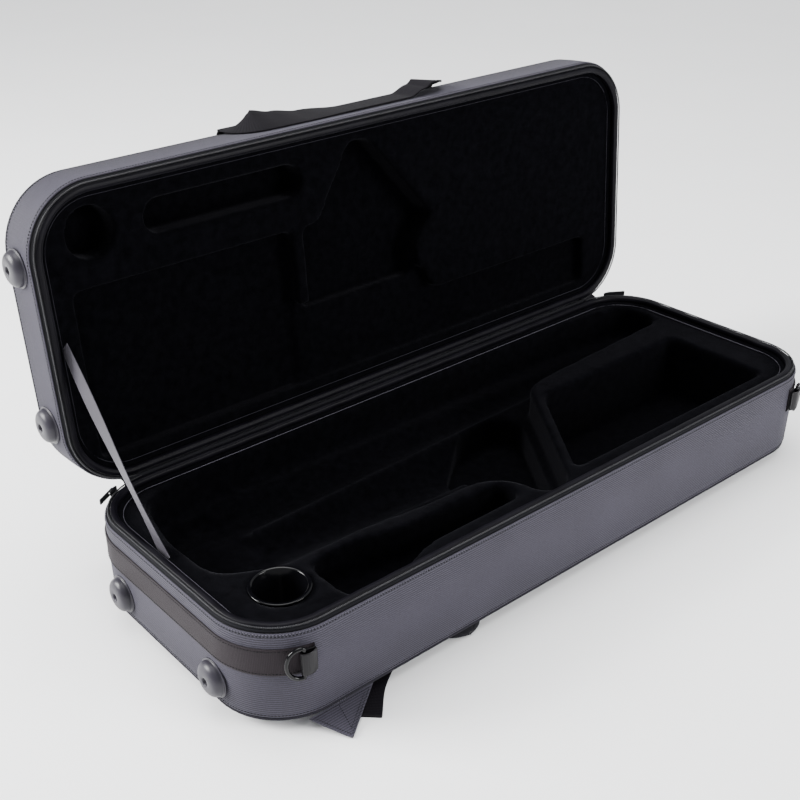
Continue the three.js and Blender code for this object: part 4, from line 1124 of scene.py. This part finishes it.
def wing(name, front):
    """Lines across the wing shrink from the seam to the tip: a triangle swept from its long side.

    Its corners are shares of the half length and the half width, and a sine lets it sag a little."""
    seam_y, rise = -0.985 * half_width * front, 1.2 * MM
    left = np.array([-0.88 * half_length, seam_y, -fit_gap - rise])
    right = np.array([-0.70 * half_length, seam_y, -fit_gap - rise])
    tip = np.array([-0.83 * half_length, -1.22 * half_width * front, fit_gap + rise - foot_height])
    share = np.linspace(0, 0.97, 24)[:, None]
    sag = -0.4 * MM * np.sin(np.pi * share) * np.array([0, 0, 1])
    middle = (left + right) / 2 * (1 - share) + tip * share + sag
    sizes = np.concatenate([1 - share, np.ones_like(share)], -1)
    long_side = float(np.linalg.norm(right - left))
    piece = strap("cloth_" + name, middle, right - left, round_bar(long_side, wing_thick, 8, 0.2), sizes)
    side = name.split("_")[1]
    normal = np.cross(right - left, tip - left)
    normal *= np.sign(normal[2]) / np.linalg.norm(normal)
    along = (right - left) / long_side
    flat_uv(piece, along, np.cross(normal, along))
    rows = wing_rows @ (np.array([left, right, tip]) + normal * wing_thick / 2)
    stitch_lines("strap_wing_stitches_" + side, thread, "base", on_base, rows, normal, 2.6 * MM)
    return dress(piece, nylon, "nylon", "base", "strap_wing_" + side)


def smooth_line(controls, steps):
    """A curve through given points: each stretch is a cubic of its four neighbours."""
    padded = np.concatenate([[2 * controls[0] - controls[1]], controls, [2 * controls[-1] - controls[-2]]])
    place = np.linspace(0, len(controls) - 1 - 1e-9, steps)
    k = place.astype(int)
    t = (place - k)[:, None]
    p0, p1, p2, p3 = (padded[k + n] for n in range(4))
    squared = (2 * p0 - 5 * p1 + 4 * p2 - p3) * t**2
    cubed = (3 * p1 - p0 - 3 * p2 + p3) * t**3
    return 0.5 * (2 * p1 + (p2 - p0) * t + squared + cubed)


def wing_web(name, front):
    """A web along the floor from the wing to the pad: the across direction is up crossed with its line."""
    level = fit_gap + 1 * MM - foot_height
    shares = np.array([[-0.772, -1.12], [-0.7, -0.93], [-0.61, -0.78], [-0.54, -0.7]])
    flat = shares * [half_length, half_width * front]
    flat = np.concatenate([flat, [[pad_x - pad_width / 2 - fit_gap, flat[-1, 1]]]])
    line = smooth_line(np.concatenate([flat, np.full((len(flat), 1), level)], -1), 40)
    across = np.cross([0, 0, 1], np.gradient(line, axis=0))
    piece = strap("strap_web_" + name, line, across, round_bar(web_width, web_thick, 6))
    return dress(piece, webbing, "webbing", "base", "strap_webbing_" + name)


def pad_section():
    """A crowned bar: full in the middle, thin at the bound edges, dipped at two sewn channels.

    The crown is one less the cube of the place across, and each channel is a bell curve."""
    turn = np.linspace(0, 2 * np.pi, 56, endpoint=False)
    side = np.sign(np.cos(turn)) * np.abs(np.cos(turn)) ** 0.6
    crown = (1 - np.abs(side) ** 3) * 0.72 + 0.28 * (np.abs(side) < 0.999)
    channels = 1 - 0.42 * sum(np.exp(-(((side - place) / 0.06) ** 2)) for place in (-0.52, 0.52))
    height = np.sign(np.sin(turn)) * np.abs(np.sin(turn)) ** 0.4 * crown * channels
    return np.stack([side * pad_width / 2, height * pad_thick / 2], -1)


def pad(name, front):
    """Straight from its round end, a quarter bend, then a run that climbs to the patch.

    The width of the round end is the root of one less a square, which is a half circle."""
    low = fit_gap + pad_thick / 2 - foot_height
    high = -2 * fit_gap - patch_thick - pad_thick / 2
    first = pad_reach - pad_spread - pad_bend + pad_width / 2
    bend, run = pad_bend * math.pi / 2, patch_x - pad_x - pad_bend
    edge_fold = 8 * MM
    round_end = pad_width / 2 * (1 - np.cos(np.linspace(0.06, np.pi / 2, 14)))
    way = np.concatenate([round_end, np.linspace(pad_width / 2, first + bend + run, 90)[1:]])
    turn = np.clip((way - first) / bend, 0, 1) * math.pi / 2
    x = pad_x + pad_bend * (1 - np.cos(turn)) + np.clip(way - first - bend, 0, run)
    y = -(pad_reach + pad_width / 2) + np.minimum(way, first) + pad_bend * np.sin(turn)
    climb = np.clip((way - first - bend) / run, 0, 1)
    z = low + (high - low) * climb
    across = np.stack([-np.cos(turn), front * np.sin(turn), 0 * way], -1)
    wide = np.sqrt(np.clip(1 - (1 - np.minimum(way / (pad_width / 2), 1)) ** 2, 0.004, 1))
    thin = np.clip(way / edge_fold, 0.25, 1) ** 0.5
    line, sizes = np.stack([x, front * y, z], -1), np.stack([wide, thin], -1)
    piece = strap("pad_" + name, line, across, pad_section(), sizes)
    return dress(piece, pad_cloth, "pad_cloth", "base", "shoulder_strap_" + name)


for name, front in (("front", 1), ("back", -1)):
    wing("wing_" + name, front)
    wing_web(name, front)
    pad(name, front)


def patch_cloth():
    """The patch: a plate whose outline is a superellipse, with a thin round edge.

    Each ring of the plate is a scale of the outline and a height in millimetres."""
    steps, half_size, squareness, uv_across = 80, [35 * MM, 95 * MM], 0.18, 0.2
    turn = np.linspace(0, 2 * np.pi, steps, endpoint=False)
    outline = np.stack([np.cos(turn), np.sin(turn)], -1)
    outline = np.sign(outline) * np.abs(outline) ** squareness * half_size
    rings = [(0.001, -0.3), (0.97, -0.3), (1.0, -0.8), (1.0, -1.4), (0.97, -1.8), (0.001, -1.8)]
    plate = [np.concatenate([outline * scale, np.full((steps, 1), z * MM)], -1) for scale, z in rings]
    grid = np.stack(plate) + [patch_x, 0, 0]
    piece = surface("strap_patch_cloth", grid, np.linspace(0, uv_across, len(rings)), lengths(outline, True))
    return dress(piece, nylon, "nylon", "base", "strap_patch")


patch_cloth()
print("Pads are", round(pad_thick / MM, 1), "mm thick under the base")

# %% [markdown]
# Two cloths join the halves. The hinge tape arches from the back wall to the lid's edge, and the
# stay ribbon at the left stops the lid just past upright. On the case both bend with the lid; here
# each is one fixed shape blended from the base to the open lid.

# %% Hinge tape and stay ribbon


def hinge_cloth():
    """An arch of shares between the two edges, along the back wall and a little way into its corners.

    A corner draws in by the radius less the root of its square less the square of the way into it."""
    thick, past, arch = 0.8 * MM, 22 * MM, 2.9 * MM
    arch_steps, corner_steps, straight_steps = 18, 10, 60
    middle = half_width - cloth / 2
    edge = swung_open(np.array([0, middle, base_height + 2 * zip_zone]))
    start = np.array([middle, base_height + fit_gap])
    run = edge[1] - fit_gap - start[0]
    shares = np.array([[0, 0], [0.06, 0.7], [0.38, 1], [0.76, 0.68]])
    bend = start + shares * [run, arch]
    flat = smooth_line(np.concatenate([bend, [[edge[1] - fit_gap, edge[2]]]]), arch_steps)
    direction = np.gradient(flat, axis=0)
    normal = np.stack([-direction[:, 1], direction[:, 0]], -1)
    normal /= np.linalg.norm(normal, axis=-1, keepdims=True)
    loop = np.concatenate([flat + normal * thick / 2, (flat - normal * thick / 2)[::-1]])
    corner = core_x + past * np.linspace(0.1, 1, corner_steps)
    x = np.concatenate([-corner[::-1], np.linspace(-core_x, core_x, straight_steps), corner])
    into = np.maximum(np.abs(x) - core_x, 0)
    drawn = (corner_radius - np.sqrt(corner_radius**2 - into**2))[:, None]
    rise = np.concatenate([np.linspace(0, 1, arch_steps), np.linspace(1, 0, arch_steps)])
    sides = np.broadcast_arrays(x[:, None], loop[:, 0] - drawn * (1 - rise), loop[:, 1] + drawn * rise)
    piece = surface("hinge_cloth", np.stack(sides, -1), x, lengths(loop, True))
    length = float(lengths(flat)[-1])
    piece.data.materials.append(zip_cloth)
    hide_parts("hinge_tape")
    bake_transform(piece)
    return length


def stay():
    """A ribbon between two sewn points, its low end tucked in, with a slight twist and belly: both sines."""
    ribbon_x, low_y, top_reach = 20.5 * MM - half_length, 26 * MM, 172 * MM
    bulge, twist = 1.5 * MM, 0.16
    top_level = base_height + 2 * zip_zone + face_drop - fit_gap
    low = np.array([ribbon_x, low_y, base_height - face_drop + fit_gap])
    top = swung_open(np.array([ribbon_x, hinge_y - top_reach, top_level]))
    share = np.linspace(-0.02, 0.98, 40)[:, None]
    sideways = np.array([1.0, 0.0, 0.0])
    line = low * (1 - share) + top * share - bulge * np.sin(np.pi * share) * sideways
    along = (top - low) / np.linalg.norm(top - low)
    across = np.cross(along, sideways) + twist * np.sin(2 * np.pi * share) * sideways
    piece = strap("stay_ribbon_web", line, across, round_bar(19.5 * MM, 0.8 * MM, 6, 0.25))
    length = float(lengths(line)[-1])
    piece.data.materials.append(ribbon_cloth)
    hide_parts("stay_ribbon")
    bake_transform(piece)
    return length


print("Hinge cloth", round(hinge_cloth() / MM, 1), "mm wide, ribbon", round(stay() / MM, 1), "mm long")

# %% [markdown]
# The stage is a pale floor under the feet, three large soft lights, and the camera where the
# photograph was taken from. A wide sun overhead keeps the floor pale and softens the shadows.

# %% Floor, lights and camera
floor_reach = 30.0
corners = [(x * floor_reach, y * floor_reach, 0) for x, y in ((-1, -1), (1, -1), (1, 1), (-1, 1))]
floor_mesh = bpy.data.meshes.new("floor")
floor_mesh.from_pydata(corners, [], [(0, 1, 2, 3)])
floor = placed("floor", floor_mesh)
floor_finish = Finish("floor", 0.6)
floor_grain = floor_finish.noise(floor_finish.coordinates("Object"), 3.0)
floor_colour = floor_finish.ramp(floor_grain, [(0.3, (0.93, 0.93, 0.93)), (0.7, (0.95, 0.95, 0.95))])
floor.data.materials.append(floor_finish.use(colour=floor_colour))

world = bpy.data.worlds.new("studio")
bpy.context.scene.world = world
world.use_nodes = True
background = world.node_tree.nodes["Background"]
background.inputs["Color"].default_value = (0.95, 0.97, 1.0, 1)
background.inputs["Strength"].default_value = 0.8


def softbox(name, place, target, size, power):
    """A square area light at a place, aimed at a target."""
    light = bpy.data.lights.new(name, "AREA")
    light.size = size
    light.energy = power
    lamp = placed(name, light)
    lamp.location = place
    aim = np.array(target) - np.array(place)
    tilt = math.acos(-aim[2] / np.linalg.norm(aim))
    lamp.rotation_euler = (tilt, 0, math.atan2(aim[1], aim[0]) - math.pi / 2)


softbox("key", (-2.3, 1.5, 1.5), (-0.3, 0, 0.1), 1.3, 240)
softbox("fill", (0.9, -2.0, 0.9), (0.1, 0, 0.1), 1.0, 58)
softbox("top", (0.1, 0.6, 2.6), (0, 0, 0), 1.6, 40)
overhead = bpy.data.lights.new("overhead", "SUN")
overhead.energy = 2.0
overhead.angle = math.radians(50)
placed("overhead", overhead)

camera_place = np.array([-867.9, -858.6, 787.4]) * MM + home
yaw, pitch, roll = math.radians(-38.92), math.radians(-29.67), math.radians(-1.2)
focal_pixels, photo_pixels = 1178.41, 800
centre_pixel = np.array([368.33, 435.94])
forward = np.array([-math.sin(yaw) * math.cos(pitch), math.cos(yaw) * math.cos(pitch), math.sin(pitch)])
level_right = np.cross(forward, [0, 0, 1])
level_right /= np.linalg.norm(level_right)
level_up = np.cross(level_right, forward)
right = level_right * math.cos(roll) + level_up * math.sin(roll)
up = -level_right * math.sin(roll) + level_up * math.cos(roll)
camera_data = bpy.data.cameras.new("photo_camera")
camera_data.sensor_width = 36
camera_data.lens = focal_pixels / photo_pixels * camera_data.sensor_width
camera_data.shift_x = 0.5 - centre_pixel[0] / photo_pixels
camera_data.shift_y = centre_pixel[1] / photo_pixels - 0.5
camera = placed("photo_camera", camera_data)
matrix = np.eye(4)
matrix[:3] = np.stack([right, up, -forward, camera_place], -1)
camera.matrix_world = Matrix(matrix.tolist())
bpy.context.scene.camera = camera
print("Lens", round(camera_data.lens, 2), "mm")

# %% Finish
bpy.context.view_layer.update()
